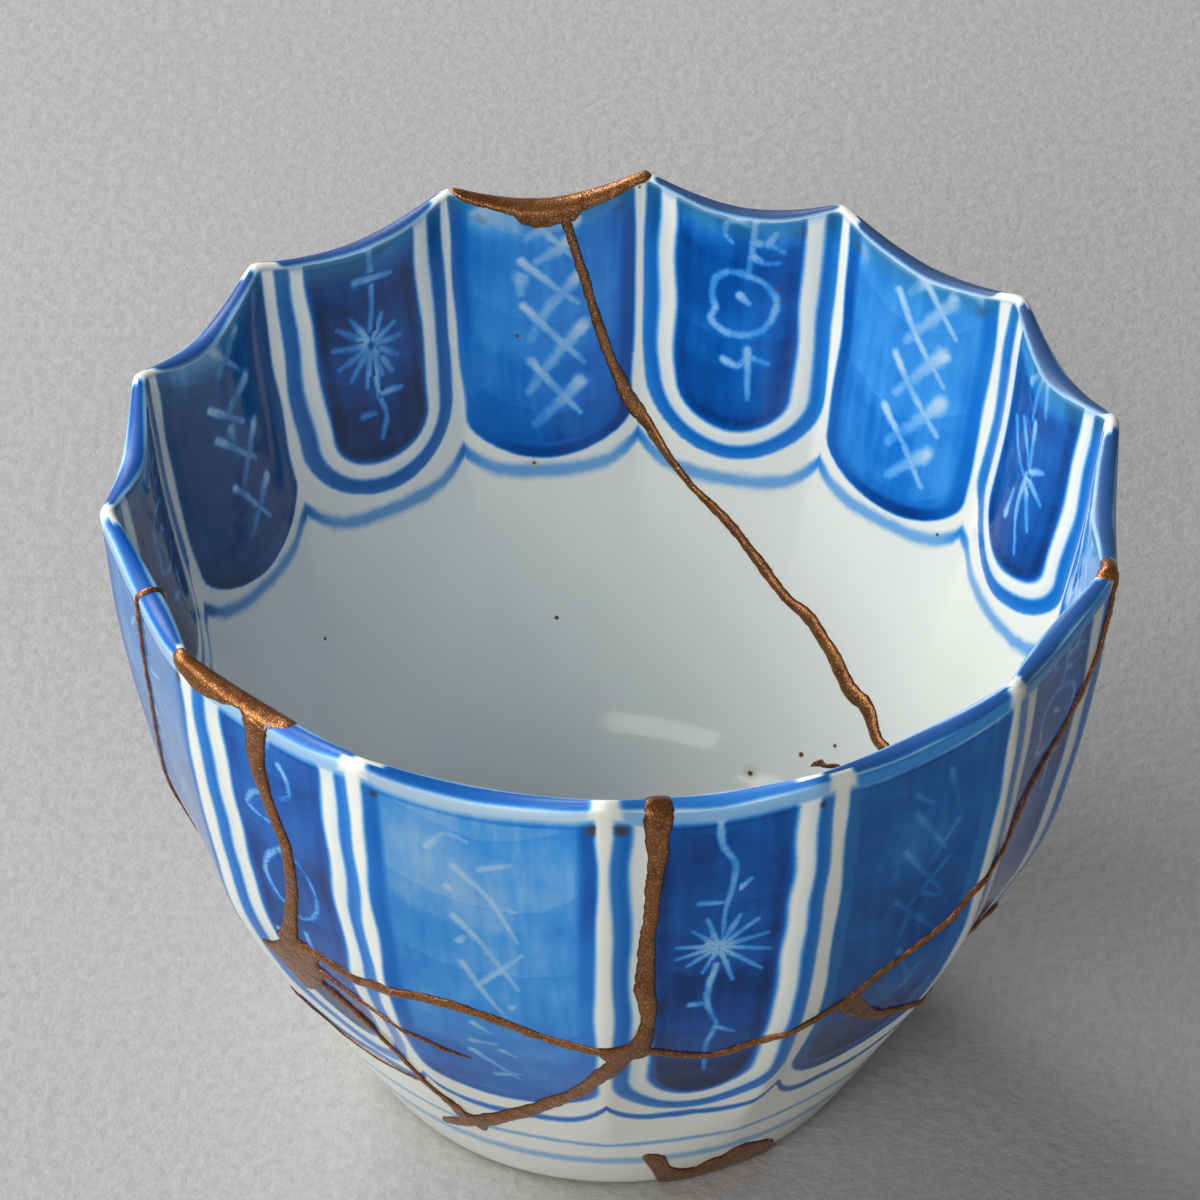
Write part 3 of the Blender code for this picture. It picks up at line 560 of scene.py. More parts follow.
INNER_PAINT = SimpleNamespace(
    gap_shift=(-0.5, 0.8, -0.9, 0.4, 0.6, -0.6, -0.5, 0.2, -0.3, 0.4, 0, -0.4, 0.3, 0),
    steps=((0, 0.5, 1.55, 3.3, 20.3), (0, 0.5, 1.75, 19.85)),
    bottom=(31.4, 30.9),
    corner=(6.0, 3.8),
    lift=(0.9, 0.8, 0, 0, 0.2, 0.5, 0, 0.3, 0.6, 0.2, 0, 0.4, 0.1, 0.5),
    # The stronger blue of panels 4 to 7 is painted shade
    tone=(0.04, -0.03, -0.02, 0, 0.1, 0.13, 0.1, 0.08, 0, 0, 0.02, 0, 0.03, 0),
    line_low=(30.0, 30.2),
    line_high=32.2,
    line_power=5.0,
    line_tone=0.36,
    line_half_width=0.58,
    rings=(),
    brushes=((ROUND_BRUSH, ROUND_BRUSH), (LONG_BRUSH, WIDE_BRUSH)),
    faint={},
    seed=0.3,
    motifs=(
        NEEDLES, CROSSES_RIGHT, PLUM, CROSSES_BACK, BACK, CROSSES_LEFT, PLUM, CROSSES_BACK, mirrored(NEEDLES),
        mirrored(CROSSES_RIGHT), BACK, CROSSES_BACK, mirrored(PLUM), CROSSES_RIGHT,
    ),
)

# How strong the blue of each stretch of lip is, how much painted shade greys it where it turns away from
# the key light, how much painted shade greys and darkens each panel on both sides, and how strong the blue
# is in the pale band below the lip outside
LIP_TONE = (0.78, 0.84, 0.84, 0.78, 0.8, 0.82, 0.8, 0.78, 0.74, 0.74, 0.62, 0.78, 0.74, 0.74)
LIP_PAINTED_SHADE = (0.75, 0.8, 0.8, 0.7, 0.55, 0.35, 0.1, 0, 0, 0.1, 0.2, 0.4, 0.5, 0.6)
LIP_PAINTED_SHADE_REACH = 1.2
PANEL_PAINTED_SHADE = (0.1, 0, 0, 0, 0.5, 0.95, 0.8, 0.4, 0, 0, 0.1, 0.5, 0, 0)
PALE_BAND = (0.34, 0.32, 0.3, 0.3, 0.3, 0.28, 0.26, 0.26, 0.26, 0.2, 0.3, 0.5, 0.46, 0.4)
PALE_BAND_REACH = (-2.0, -0.4)
# What the middles of the floor and the recess hold: places far outside panels and far from strokes and lines
PLAIN_VALUES = {
    "band": (-9, -9, -9), "kind": (0, 0, 0), "stroke_a": (9, 9, 9), "stroke_b": (9, 9, 9), "trim": (9, 9, 9),
    "lip": (-9, -9, -9), "spot": (9, 9, 0),
}


def panel_edges(shifts):
    """Angles of the white gaps' middles, once round, the first again at the end."""
    own = list(shifts) + [shifts[0]]
    return RIDGES + np.degrees(np.array(own) / RIM_RADIUS)


def panel_of(angle, edges):
    turned = edges[0] + (angle - edges[0]) % 360
    return np.clip(np.searchsorted(edges, turned, side="right") - 1, 0, FLUTES - 1)


def across_panel(angle, panel, edges, radius):
    """How far a place lies from its panel's middle, and the panel's half width there."""
    middle = (edges[panel] + edges[panel + 1]) / 2
    half = (edges[panel + 1] - edges[panel]) / 2
    away = (angle - middle + 180) % 360 - 180
    return np.radians(away) * radius, np.radians(half) * radius


def panel_depth(x, half, height, bottom, corner):
    """How far a place lies inside its panel's edge, which is straight at the sides and round below."""
    low = np.maximum(0, bottom + corner - height) / corner
    side = np.abs(x) / half
    out = np.maximum(np.hypot(side, low), 1e-6)
    slope = np.maximum(np.hypot(side / half, low / corner) / out, 1e-6)
    return (1 - out) / slope


def panel_lift(x, half, panels, lifts):
    """How much higher a panel is painted. Two neighbours meet at their gap."""
    beside = (panels[:, None] + np.where(x > 0, 1, -1)) % FLUTES
    own = lifts[panels][:, None]
    return own + (lifts[beside] - own) / 2 * np.minimum(np.abs(x) / half, 1) ** LIFT_POWER


def pick(pair, first):
    """The first of two values where a condition holds, and the second elsewhere."""
    return np.where(first, pair[0], pair[1])


def steps_read(depth, dark, paint):
    """A panel's depth with its steps moved to where the materials expect them."""
    moved = [np.interp(depth, own, read) for own, read in zip(paint.steps, STEPS_READ)]
    return np.where(depth < 0, depth, pick(moved, dark))


def round_stroke(stroke):
    """A stroke's points, with round bends where it has more than two."""
    points = np.array(stroke, dtype=float)
    if len(points) < 3:
        return points
    closed = stroke[0] == stroke[-1]
    if closed:
        points = np.concatenate((points[-2:-1], points, points[1:2]))
    knots = lengths_along(points)
    first, last = (1, -2) if closed else (0, -1)
    places = np.linspace(knots[first], knots[last], STROKE_SPANS * (len(stroke) - 1) + 1)
    return smooth_line(places, knots, points)


def stroke_pieces(layer):
    """The straight pieces of a layer's strokes: starts, ends, shares of the way along, a stroke's length."""
    pieces = []
    for stroke in layer:
        points = round_stroke(stroke)
        run = lengths_along(points)
        done = run / run[-1]
        if stroke[0] == stroke[-1]:
            done[:] = CLOSED_SHARE
        for index in range(len(points) - 1):
            pieces.append((*points[index], *points[index + 1], done[index], done[index + 1], run[-1]))
    return np.array(pieces)


def stroke_places(x, height, layer, half_width):
    """For each face, where its corners lie beside and beyond the nearest stroke, in half widths."""
    pieces = stroke_pieces(layer)
    starts, ends, shares = pieces[:, 0:2], pieces[:, 2:4], pieces[:, 4:6]
    lengths = np.maximum(np.hypot(*(ends - starts).T), 1e-3)
    along = (ends - starts) / lengths[:, None]
    middles = (starts + ends) / 2
    face_x = x.mean(axis=1)[:, None] - middles[:, 0]
    face_height = height.mean(axis=1)[:, None] - middles[:, 1]
    reach = np.abs(face_x * along[:, 0] + face_height * along[:, 1]) - lengths / 2
    beside = np.abs(face_height * along[:, 0] - face_x * along[:, 1])
    nearest = np.argmin(np.hypot(beside, np.maximum(0, reach)), axis=1)
    line = along[nearest]
    from_x = x - middles[nearest, 0][:, None]
    from_height = height - middles[nearest, 1][:, None]
    travel = from_x * line[:, :1] + from_height * line[:, 1:]
    length = lengths[nearest][:, None]
    first, last = shares[nearest, :1], shares[nearest, 1:]
    share = first + (last - first) * np.clip(travel / length + 0.5, 0, 1)
    half = half_width * (BRUSH_START + (BRUSH_END - BRUSH_START) * share)
    off = from_height * line[:, :1] - from_x * line[:, 1:]
    strength = 1 - BRUSH_FADE * share
    if half_width == WIDE_BRUSH:
        blob = np.exp(-(share * pieces[nearest, 6][:, None] / BLOB_REACH) ** 2)
        strength = strength * (WIDE_STRENGTH + (1 - WIDE_STRENGTH) * blob)
    return off / half, (np.abs(travel) - length / 2) / half, strength


def blemish_places(sheet, side, angle, radius, run):
    """For each face, where its corners lie from the nearest blemish, in its radii, and its kind."""
    own = [blemish for blemish in BLEMISHES if blemish[0] == side]
    centre = np.array([
        (place, sheet.run_at(height, side), size, kind) for _, place, height, size, kind in own
    ])
    away = np.radians((angle[..., None] - centre[:, 0] + 180) % 360 - 180) * radius[..., None] / centre[:, 2]
    down = (run[..., None] - centre[:, 1]) / centre[:, 2]
    nearest = np.argmin(np.hypot(away.mean(axis=1), down.mean(axis=1)), axis=1)
    faces = np.arange(len(nearest))[:, None]
    corners = np.arange(4)[None, :]
    chosen = nearest[:, None]
    kind = centre[nearest, 3][:, None] + np.zeros(angle.shape)
    return away[faces, corners, chosen], down[faces, corners, chosen], kind


def trim_place(x, half, height, dark, paint):
    """Where a corner lies from the nearest thin line, in half widths of the line, and the line's tone."""
    low = pick(paint.line_low, dark)
    to_gap = np.minimum(np.abs(x) / half, 1)
    place = (height - low - (paint.line_high - low) * to_gap ** paint.line_power) / paint.line_half_width
    strength = paint.line_tone + CUSP_TONE * to_gap ** CUSP_POWER
    middle = height.mean(axis=1, keepdims=True)
    above = min(paint.line_low)
    for level, half_width, tone in paint.rings:
        below = middle < (level + above) / 2
        place = np.where(below, (height - level) / half_width, place)
        strength = np.where(below, tone, strength)
        above = level
    return place, strength


class Sheet:
    """The cup's grid of points with the values that its paint needs at each face's corners."""

    def __init__(self):
        section = fine_section()
        self.radii, self.heights = section.T
        self.rows = len(section)
        share = np.arange(COLUMNS_PER_FLUTE) / COLUMNS_PER_FLUTE
        share = share - RIDGE_CROWDING * np.sin(2 * np.pi * share) / (2 * np.pi)
        places = (np.arange(FLUTES)[:, None] + share).ravel()
        self.columns = len(places)
        self.angles = np.append(np.interp(places, np.arange(FLUTES + 1.0), RIDGES), RIDGES[0] + 360)
        lengths = lengths_along(section)
        self.crown = int(np.argmax(self.heights))
        self.from_crown = lengths - lengths[self.crown]
        self.points = press(self.angles[None, :], self.radii[:, None], self.heights[:, None])

    def run_at(self, height, side):
        """How far along the section from the lip's crown a height lies."""
        rising = slice(self.crown - OUTER_ROWS, self.crown + 1)
        if side == INSIDE:
            rising = slice(None, self.crown - 1, -1)
        return float(np.interp(height, self.heights[rising], self.from_crown[rising]))

    def corners(self):
        """Rows and columns of every four-sided face's corners, bottom left first."""
        row, column = np.meshgrid(np.arange(1, self.rows - 2), np.arange(self.columns), indexing="ij")
        row, column = row.ravel(), column.ravel()
        rows = np.column_stack((row, row, row + 1, row + 1))
        columns = np.column_stack((column, column + 1, column + 1, column))
        return rows, columns

    def mesh(self, name):
        grid = self.points[1:-1, :-1].reshape(-1, 3)
        poles = self.points[[0, -1], 0]
        count = self.rows - 2
        rows, columns = self.corners()
        faces = ((rows - 1) * self.columns + columns % self.columns).tolist()
        first, last = len(grid), len(grid) + 1
        top = (count - 1) * self.columns
        for column in range(self.columns):
            beside = (column + 1) % self.columns
            faces.append((first, beside, column))
            faces.append((last, top + column, top + beside))
        mesh = bpy.data.meshes.new(name)
        mesh.from_pydata((np.concatenate((grid, poles)) * MM).tolist(), [], faces)
        return mesh


def side_values(sheet, side, angle, radius, height, from_crown):
    """For the faces of one side, the three values of each kind at each corner."""
    paint = INNER_PAINT if side == INSIDE else OUTER_PAINT
    edges = panel_edges(paint.gap_shift)
    panels = panel_of(angle.mean(axis=1), edges)
    own = panels[:, None]
    plain = np.zeros(angle.shape)
    dark = own % 2 == plain
    x, half = across_panel(angle, own, edges, np.maximum(radius, WELL_FLOOR_RADIUS / 2))
    level = height - panel_lift(x, half, panels, np.array(paint.lift))
    depth = panel_depth(x, half, level, pick(paint.bottom, dark), pick(paint.corner, dark))
    place, strength = trim_place(x, half, level if side == INSIDE else height, dark, paint)
    pale = (from_crown > PALE_BAND_REACH[0]) & (from_crown < PALE_BAND_REACH[1])
    at_lip = np.abs(from_crown) < LIP_PAINTED_SHADE_REACH
    tone = pick((np.array(PALE_BAND)[own], np.array(paint.tone)[own]), pale)
    # Painted shade: how grey the lip and the panels turned away from the key light are made
    painted_shade = pick((np.array(LIP_PAINTED_SHADE)[own], np.array(PANEL_PAINTED_SHADE)[own]), at_lip)
    found = {
        "band": (steps_read(depth, dark, paint), height, x),
        "kind": (dark * 1.0, (own * SEED_STEP + paint.seed) % 1 + plain, tone),
        "trim": (place, strength, from_crown),
        "lip": (half - np.abs(x), np.array(LIP_TONE)[own] + plain, painted_shade),
        "spot": blemish_places(sheet, side, angle, radius, from_crown),
    }
    for layer, name in enumerate(("stroke_a", "stroke_b")):
        found[name] = np.zeros((3,) + angle.shape)
        for panel in range(FLUTES):
            here = panels == panel
            brush = paint.brushes[panel % 2][layer]
            beside, beyond, strength = stroke_places(x[here], height[here], paint.motifs[panel][layer], brush)
            found[name][:, here] = beside, beyond, strength * paint.faint.get(panel, 1)
    return found


def store_paint(mesh, sheet):
    """Writes three values for each corner, under names that the materials read.

    The three-sided faces at the two middles come last and stay plain.
    """
    rows, columns = sheet.corners()
    from_crown = sheet.from_crown[rows]
    places = (sheet.angles[columns], sheet.radii[rows], sheet.points[rows, columns, 2], from_crown)
    every = (len(mesh.loops), 3)
    stored = {name: np.full(every, plain, dtype=float) for name, plain in PLAIN_VALUES.items()}
    for side in (OUTSIDE, INSIDE):
        faces = np.flatnonzero((from_crown.mean(axis=1) > 0) == (side == INSIDE))
        corners = (faces[:, None] * 4 + np.arange(4)).ravel()
        for name, parts in side_values(sheet, side, *(place[faces] for place in places)).items():
            stored[name][corners] = np.stack(parts, axis=-1).reshape(-1, 3)
    for name, value in stored.items():
        layer = mesh.attributes.new(name, "FLOAT_VECTOR", "CORNER")
        layer.data.foreach_set("vector", value.astype(np.float32).ravel())


# Materials

class Value:
    """A number or colour that the nodes work out. Sums and products of values add nodes."""

    def __init__(self, nodes, socket):
        self.nodes = nodes
        self.socket = socket

    def __add__(self, other):
        return self.nodes.math("ADD", self, other)

    def __sub__(self, other):
        return self.nodes.math("SUBTRACT", self, other)

    def __mul__(self, other):
        return self.nodes.math("MULTIPLY", self, other)

    def __truediv__(self, other):
        return self.nodes.math("DIVIDE", self, other)


class Nodes:
    """Adds nodes to a new material and links them."""

    def __init__(self, name):
        self.material = bpy.data.materials.new(name)
        self.material.use_nodes = True
        self.tree = self.material.node_tree
        self.place = self.add("ShaderNodeTexCoord", {}, "Object")

    def put(self, socket, value):
        if isinstance(value, Value):
            self.tree.links.new(value.socket, socket)
        else:
            socket.default_value = value

    def add(self, kind, inputs, output=0, **settings):
        """A new node's output, with the node's inputs and settings given."""
        node = self.tree.nodes.new(kind)
        for name, value in settings.items():
            setattr(node, name, value)
        for key, value in inputs.items():
            self.put(node.inputs[key], value)
        return Value(self, node.outputs[output])

    def math(self, operation, first, second=0.0, third=0.0, clamp=False):
        inputs = {0: first, 1: second, 2: third}
        return self.add("ShaderNodeMath", inputs, operation=operation, use_clamp=clamp)

    def most(self, first, second, clamp=False):
        return self.math("MAXIMUM", first, second, clamp=clamp)

    def away(self, across, along):
        """The distance that two sideways distances make."""
        return self.math("SQRT", along * along + across * across)

    def fade(self, value, start, end, low=0.0, high=1.0):
        """Goes smoothly from low to high as the value goes from start to end."""
        inputs = {"Value": value, "From Min": start, "From Max": end, "To Min": low, "To Max": high}
        return self.add("ShaderNodeMapRange", inputs, interpolation_type="SMOOTHSTEP")

    def mix(self, share, first, second):
        return self.add("ShaderNodeMix", {0: share, 2: first, 3: second}, data_type="FLOAT")

    def mix_colour(self, share, first, second):
        return self.add("ShaderNodeMix", {0: share, 6: first, 7: second}, 2, data_type="RGBA")

    def ramp(self, value, stops, ease="EASE"):
        ramp = self.add("ShaderNodeValToRGB", {"Fac": value})
        colours = ramp.socket.node.color_ramp
        colours.interpolation = ease
        while len(colours.elements) < len(stops):
            colours.elements.new(1)
        for element, (place, colour) in zip(colours.elements, stops):
            element.position = place
            element.color = colour if isinstance(colour, tuple) else (colour, colour, colour, 1)
        return ramp

    def profile(self, value, stops):
        """A soft line through stops, whose places are given in millimetres."""
        low, high = stops[0][0], stops[-1][0]
        shares = [((place - low) / (high - low), level) for place, level in stops]
        return self.ramp((value - low) / (high - low), shares)

    def values(self, name):
        """The three values stored on the mesh under a name."""
        return self.split(self.add("ShaderNodeAttribute", {}, "Vector", attribute_name=name))

    def split(self, vector):
        parts = self.add("ShaderNodeSeparateXYZ", {0: vector}).socket.node
        return [Value(self, output) for output in parts.outputs]

    def scaled(self, vector, scale):
        return self.add("ShaderNodeMapping", {0: vector, 3: scale})

    def noise(self, scale, detail, roughness=0.5, place=None):
        inputs = {"Vector": place or self.place, "Scale": scale, "Detail": detail, "Roughness": roughness}
        return self.add("ShaderNodeTexNoise", inputs)

    def bump(self, height, strength, distance):
        inputs = {"Height": height, "Strength": strength, "Distance": distance}
        return self.add("ShaderNodeBump", inputs)

    def shade(self, **inputs):
        """Sets the shader's inputs, whose names have spaces for the underscores here."""
        shader = self.tree.nodes["Principled BSDF"]
        for name, value in inputs.items():
            self.put(shader.inputs[name.replace("_", " ")], value)
        return self.material


def linear(red, green, blue):
    """A colour given as it shows on a screen, from 0 to 255, as light."""
    light = []
    for share in (red / 255, green / 255, blue / 255):
        light.append(share / 12.92 if share < 0.04045 else ((share + 0.055) / 1.055) ** 2.4)
    return (*light, 1)


GLAZE = linear(226, 228, 219)
COBALT = (
    (0.0, GLAZE),
    (0.14, linear(190, 208, 218)),
    (0.3, linear(126, 174, 214)),
    (0.46, linear(58, 142, 212)),
    (0.62, linear(18, 108, 192)),
    (0.78, linear(0, 76, 156)),
    (0.9, linear(0, 52, 118)),
    (1.0, linear(0, 32, 78)),
)
# Depth into a panel, or distance from the lip's crown, and how strong the blue, a border or the panel is
DARK_BLUE = (
    (0, 0), (0.25, 0), (0.75, 0.58), (1.35, 0.64), (1.85, 0.05), (2.45, 0), (3.0, 0.78), (3.5, 0.82),
    (4.4, 0.75), (8, 0.74),
)
LATTICE_BLUE = ((0, 0), (0.3, 0), (0.85, 0.54), (8, 0.54))
LATTICE_BORDER = ((0, 0), (0.4, 0), (0.85, 1), (1.35, 1), (2.1, 0.15), (3.0, 0), (8, 0))
LIP_BLUE = (
    (-4, 0), (-2, 0.1), (-1.3, 0.12), (-0.65, 0.22), (-0.25, 0.95), (0.32, 1), (0.52, 0.42), (0.66, 0.24),
    (1.2, 0.12), (1.6, 0), (4, 0),
)
PANEL_SHOWS = (
    (-4, 1), (-2.2, 1), (-1.6, 0.5), (-1.2, 0.1), (0.45, 0), (0.62, 0.25), (0.8, 0.9), (1.1, 1), (4, 1),
)
LAP = 7.5


def washes(nodes, marks, panel, from_crown, inside, bottom):
    """Overlapping washes: an uneven ground, upright and round brush marks, and a darker lower stretch."""
    wobble, grain, cloud = marks
    height, x, seed, tone = panel
    flat = nodes.add("ShaderNodeCombineXYZ", {0: x, 1: height, 2: seed * 40.0})
    streaks = nodes.noise(1.0, 1, place=nodes.scaled(flat, (1.1, 0.16, 1)))
    bowed = height - x * x * 0.06
    laps = nodes.math("FRACT", ((cloud + seed) * 3.0 + bowed) / LAP)
    wash = nodes.fade(bowed, 40.2, 38.8, 0.0, 0.06) + nodes.fade(bowed, 24.6, 22.0, 0.0, 0.16)
    for mark, amount in ((cloud, 0.38), (streaks, 0.16), (laps, 0.05), (grain, 0.07)):
        wash = wash + (mark - 0.5) * amount
    thin = inside * nodes.fade(from_crown, 4.5, 1.2) * nodes.fade(wobble, 0.52, 0.4, 0.0, -0.26)
    toned = nodes.fade(from_crown, -2.0, -2.3) + inside
    # Each panel's tone partly differs at random and partly is painted shade on the panels turned away from
    # the key light
    return wash + thin + tone * toned + bottom * 0.05


def painted_glaze():
    """Cobalt painting under a clear, pale glaze."""
    nodes = Nodes("painted_glaze")
    fade, mix, most = nodes.fade, nodes.mix, nodes.most
    band, height, x = nodes.values("band")
    dark, seed, tone = nodes.values("kind")
    trim, trim_strength, from_crown = nodes.values("trim")
    gap, lip_tone, painted_shade = nodes.values("lip")
    wobble = nodes.noise(170, 0)
    grain = nodes.noise(3600, 3, 0.65)
    cloud = nodes.noise(130, 3, 0.55)
    shift = wobble * 0.7 - 0.35 + (grain - 0.5) * 0.12
    edge = band + shift
    inside = fade(from_crown, 0.5, 0.7)
    bottom = mix(inside, fade(height, 24.0, 16.0), fade(height, 38.0, 33.0))
    uneven = nodes.noise(1.0, 2, place=nodes.scaled(nodes.place, (90, 90, 40)))
    border = nodes.profile(edge, LATTICE_BORDER) * (fade(uneven, 0.35, 0.7, 0.03, 0.26) + bottom * 0.12)
    paint = mix(dark, nodes.profile(edge, LATTICE_BLUE) + border, nodes.profile(edge, DARK_BLUE))
    inside_fill = fade(band, mix(dark, 1.6, 2.9), mix(dark, 2.2, 3.3))
    marks = (wobble, grain, cloud)
    paint = paint + washes(nodes, marks, (height, x, seed, tone), from_crown, inside, bottom) * inside_fill

    # Strokes wiped out of the fill
    rough = nodes.noise(900, 2) * 1.2 - 0.6
    wiped = 0.0
    for name in ("stroke_a", "stroke_b"):
        beside, beyond, strength = nodes.values(name)
        away = nodes.away(beside, most(beyond, 0.0)) + rough
        wiped = most(wiped, fade(away, 1.75, 0.35) * strength)
    patchy = fade(nodes.noise(420, 2), 0.3, 0.62, 0.65, 1.0)
    paint = mix(wiped * inside_fill * patchy, paint, mix(dark, 0.2, 0.27))

    # Thin lines round the cup, and the lip
    away = nodes.math("ABSOLUTE", trim) + rough * 0.7
    paint = most(paint, fade(away, 1.8, 0.25) * trim_strength)
    crown = from_crown + shift * 0.8
    open_gap = fade(gap + shift * 1.6, 0.7, 1.5)
    pale = fade(from_crown, -2.2, -1.6) * fade(from_crown, -0.3, -0.6)
    lip = most(nodes.profile(crown, LIP_BLUE) * lip_tone, pale * tone) * open_gap
    paint = most(paint * nodes.profile(crown, PANEL_SHOWS), lip, clamp=True)

    # Where other colours lie over the blue: first the painted shade that greys the lip and the panels turned
    # away from the key light, the line and the greenish edge below the inner lip, and the corners where the
    # glaze gathers, then the blemishes and the bare foot
    from_lip = nodes.math("ABSOLUTE", from_crown)
    painted_shade = painted_shade * fade(paint, 0.2, 0.6)
    corner = inside * dark * fade(height, 47.5, 51.5) * fade(gap, 3.4, 1.2) * fade(cloud, 0.42, 0.62)
    spot_x, spot_y, spot_kind = nodes.values("spot")
    spot = nodes.away(spot_x, spot_y) + rough * 0.5
    pooled, stained, speck = [nodes.math("COMPARE", spot_kind, float(kind), 0.1)
                              for kind in (DARK_POOL, STAIN, IRON_SPECK)]
    freckles = fade(nodes.noise(1500, 1), 0.72, 0.76) * fade(paint, 0.4, 0.1)
    bare = fade(nodes.split(nodes.place)[2] + grain * 0.0002, 0.0006, 0.0004)
    shades = (
        # Painted shade: a grey-blue lip and a dark teal over the panels turned away from the key light
        (painted_shade * fade(from_lip, 1.1, 0.5), (54, 78, 110)),
        (painted_shade * fade(from_lip, 1.3, 2.0, 0.0, 0.6), (20, 52, 64)),
        (inside * fade(from_crown, 1.1, 0.8, 0.0, 0.45), (132, 156, 176)),
        (inside * fade(from_crown, 3.2, 1.0) * fade(paint, 0.15, 0.5, 0.0, 0.55), (44, 112, 138)),
        (corner * fade(paint, 0.4, 0.7, 0.0, 0.6), (16, 58, 84)),
        (pooled * fade(spot, 1.4, 0.3) * mix(inside, 0.9, 0.35) * fade(paint, 0.08, 0.3), (60, 54, 34)),
        (stained * fade(spot, 1.2, 0.3, 0.0, 0.45), (188, 180, 128)),
        (most(speck * fade(spot, 1.1, 0.6), stained * fade(spot, 0.28, 0.12)), (96, 70, 46)),
        (freckles * inside * fade(from_crown, 1.8, 1.2), (110, 92, 66)),
        (bare, (176, 154, 128)),
    )
    colour = nodes.ramp(paint, COBALT, "LINEAR")
    for share, shade in shades:
        colour = nodes.mix_colour(share, colour, linear(*shade))
    roughness = mix(bare, fade(from_lip, 0.6, 1.4, 0.42, 0.09), 0.6)
    ripple = nodes.bump(nodes.noise(420, 2) + wobble * 1.5, 0.12, 0.0004)
    return nodes.shade(
        Base_Color=colour, Roughness=roughness, IOR=1.5, Specular_IOR_Level=0.24, Normal=ripple,
    )


def gold_lacquer():
    """Lacquer dusted with gold powder: brown-gold, speckled and half matt."""
    nodes = Nodes("gold_lacquer")
    fade, mix_colour = nodes.fade, nodes.mix_colour
    crown = nodes.values("crown")[0]
    flakes = nodes.noise(7500, 2, 0.7)
    body = mix_colour(fade(nodes.noise(700, 2), 0.3, 0.7), linear(122, 72, 36), linear(152, 98, 52))
    body = mix_colour(fade(flakes, 0.55, 0.72), body, linear(238, 186, 126))
    body = mix_colour(fade(flakes, 0.45, 0.3, 0.0, 0.6), body, linear(84, 46, 22))
    body = mix_colour(fade(crown, 0.85, 0.2), body, linear(76, 38, 16))
    grains = nodes.bump(nodes.noise(900, 2) * 2.0 + flakes, 0.35, 0.00012)
    roughness = fade(flakes, 0.3, 0.7, 0.38, 0.24)
    return nodes.shade(Base_Color=body, Metallic=0.75, Roughness=roughness, Normal=grains)


def floor_cloth():
    nodes = Nodes("floor_cloth")
    weave = nodes.noise(900, 4, 0.65)
    cloud = nodes.fade(nodes.noise(6, 2), 0.3, 0.7)
    tint = nodes.mix_colour(cloud, linear(158, 157, 156), linear(166, 165, 164))
    tint = nodes.mix_colour(nodes.fade(weave, 0.35, 0.65, 0.0, 0.35), tint, linear(138, 137, 136))
    return nodes.shade(Base_Color=tint, Roughness=0.95, Normal=nodes.bump(weave, 0.5, 0.0004))


# Pieces

def add_piece(name, mesh, material, replaced):
    mesh.materials.append(material)
    piece = bpy.data.objects.new(name, mesh)
    bpy.context.scene.collection.objects.link(piece)
    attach(piece, "root")
    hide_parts(replaced)


def make_cup(material):
    sheet = Sheet()
    mesh = sheet.mesh("cup_body_painted")
    store_paint(mesh, sheet)
    mesh.shade_smooth()
    add_piece("cup_porcelain", mesh, material, "cup_body")


# Lacquer

SINK = 0.07
UNDERSIDE = 0.25
BEAD_STEP = 0.28
BEAD_POINTS = 9
BEAD_HEIGHT = 0.24
BREAK_SPANS = 12
THIN_HEIGHT = 0.12
BACK_FILL_HEIGHT = 0.18
LEFT_FILL_HEIGHT = 0.05
RIGHT_FILL_HEIGHT = 0.1
FOOT_FILL_HEIGHT = 0.2
FILL_STEP = 0.3
FILL_POINTS = 13
POOL_SPANS = 5
POOL_RINGS = (0.35, 0.6, 0.78, 0.9, 0.97, 1.0)
SLOPE_REACH = 0.14

# How round the tops are: the power of the share of the half width, and of what is left
BEAD_DOME = (2.4, 0.75)
FILL_DOME = (6, 0.8)
POOL_DOME = (5, 0.7)
# Where the undersides have their points, as shares of the half width
BEAD_UNDER = (0.7, 0.0, -0.7)
FILL_UNDER = (0.9, 0.3, -0.3, -0.9)
POOL_UNDER = 0.85
# Beads narrower than 1 mm are lower, down to this share
NARROW_RISE = 0.25
# Over what length the ends grow thin, and how thin at the end, before the root is taken
BEAD_TAPER = 0.7
FILL_TAPER = 0.6
THINNEST = 0.02
# Unevenness: its size and the length of its longest wave. A bead's broad and fine ones share its width.
BROAD_WAVER = (0.16, 5.5)
FINE_WAVER = (0.05, 1.4)
RISE_WAVER = (0.25, 3.0)
FILL_WAVER = (0.1, 2.6)
POOL_WAVER = (0.06, 2.0)
WAVER_OCTAVES = 4
OCTAVE_DROP = 1.6
WAVER_SPAN = 2.2


def skin_line():
    """The cup's skin from the foot over the lip to the well, as lengths, radii and heights."""
    outside = np.concatenate(([[FOOT_RADIUS, 0]], outer_wall(200)))
    inside = np.concatenate((inner_wall(LIP_BASE, CORNER_TOP, 200), well_corner(40)))
    lip = lip_arc(40)
    crown = len(outside) + len(lip) // 2
    points = np.concatenate((outside, lip, inside))
    return lengths_along(points), points[:, 0], points[:, 1], crown


SKIN_LENGTHS, SKIN_RADII, SKIN_HEIGHTS, SKIN_CROWN = skin_line()


def skin_length(height, side):
    """How far along the skin a height is, on the outside or the inside."""
    if side == OUTSIDE:
        return np.interp(height, SKIN_HEIGHTS[:SKIN_CROWN], SKIN_LENGTHS[:SKIN_CROWN])
    return np.interp(height, SKIN_HEIGHTS[SKIN_CROWN:][::-1], SKIN_LENGTHS[SKIN_CROWN:][::-1])


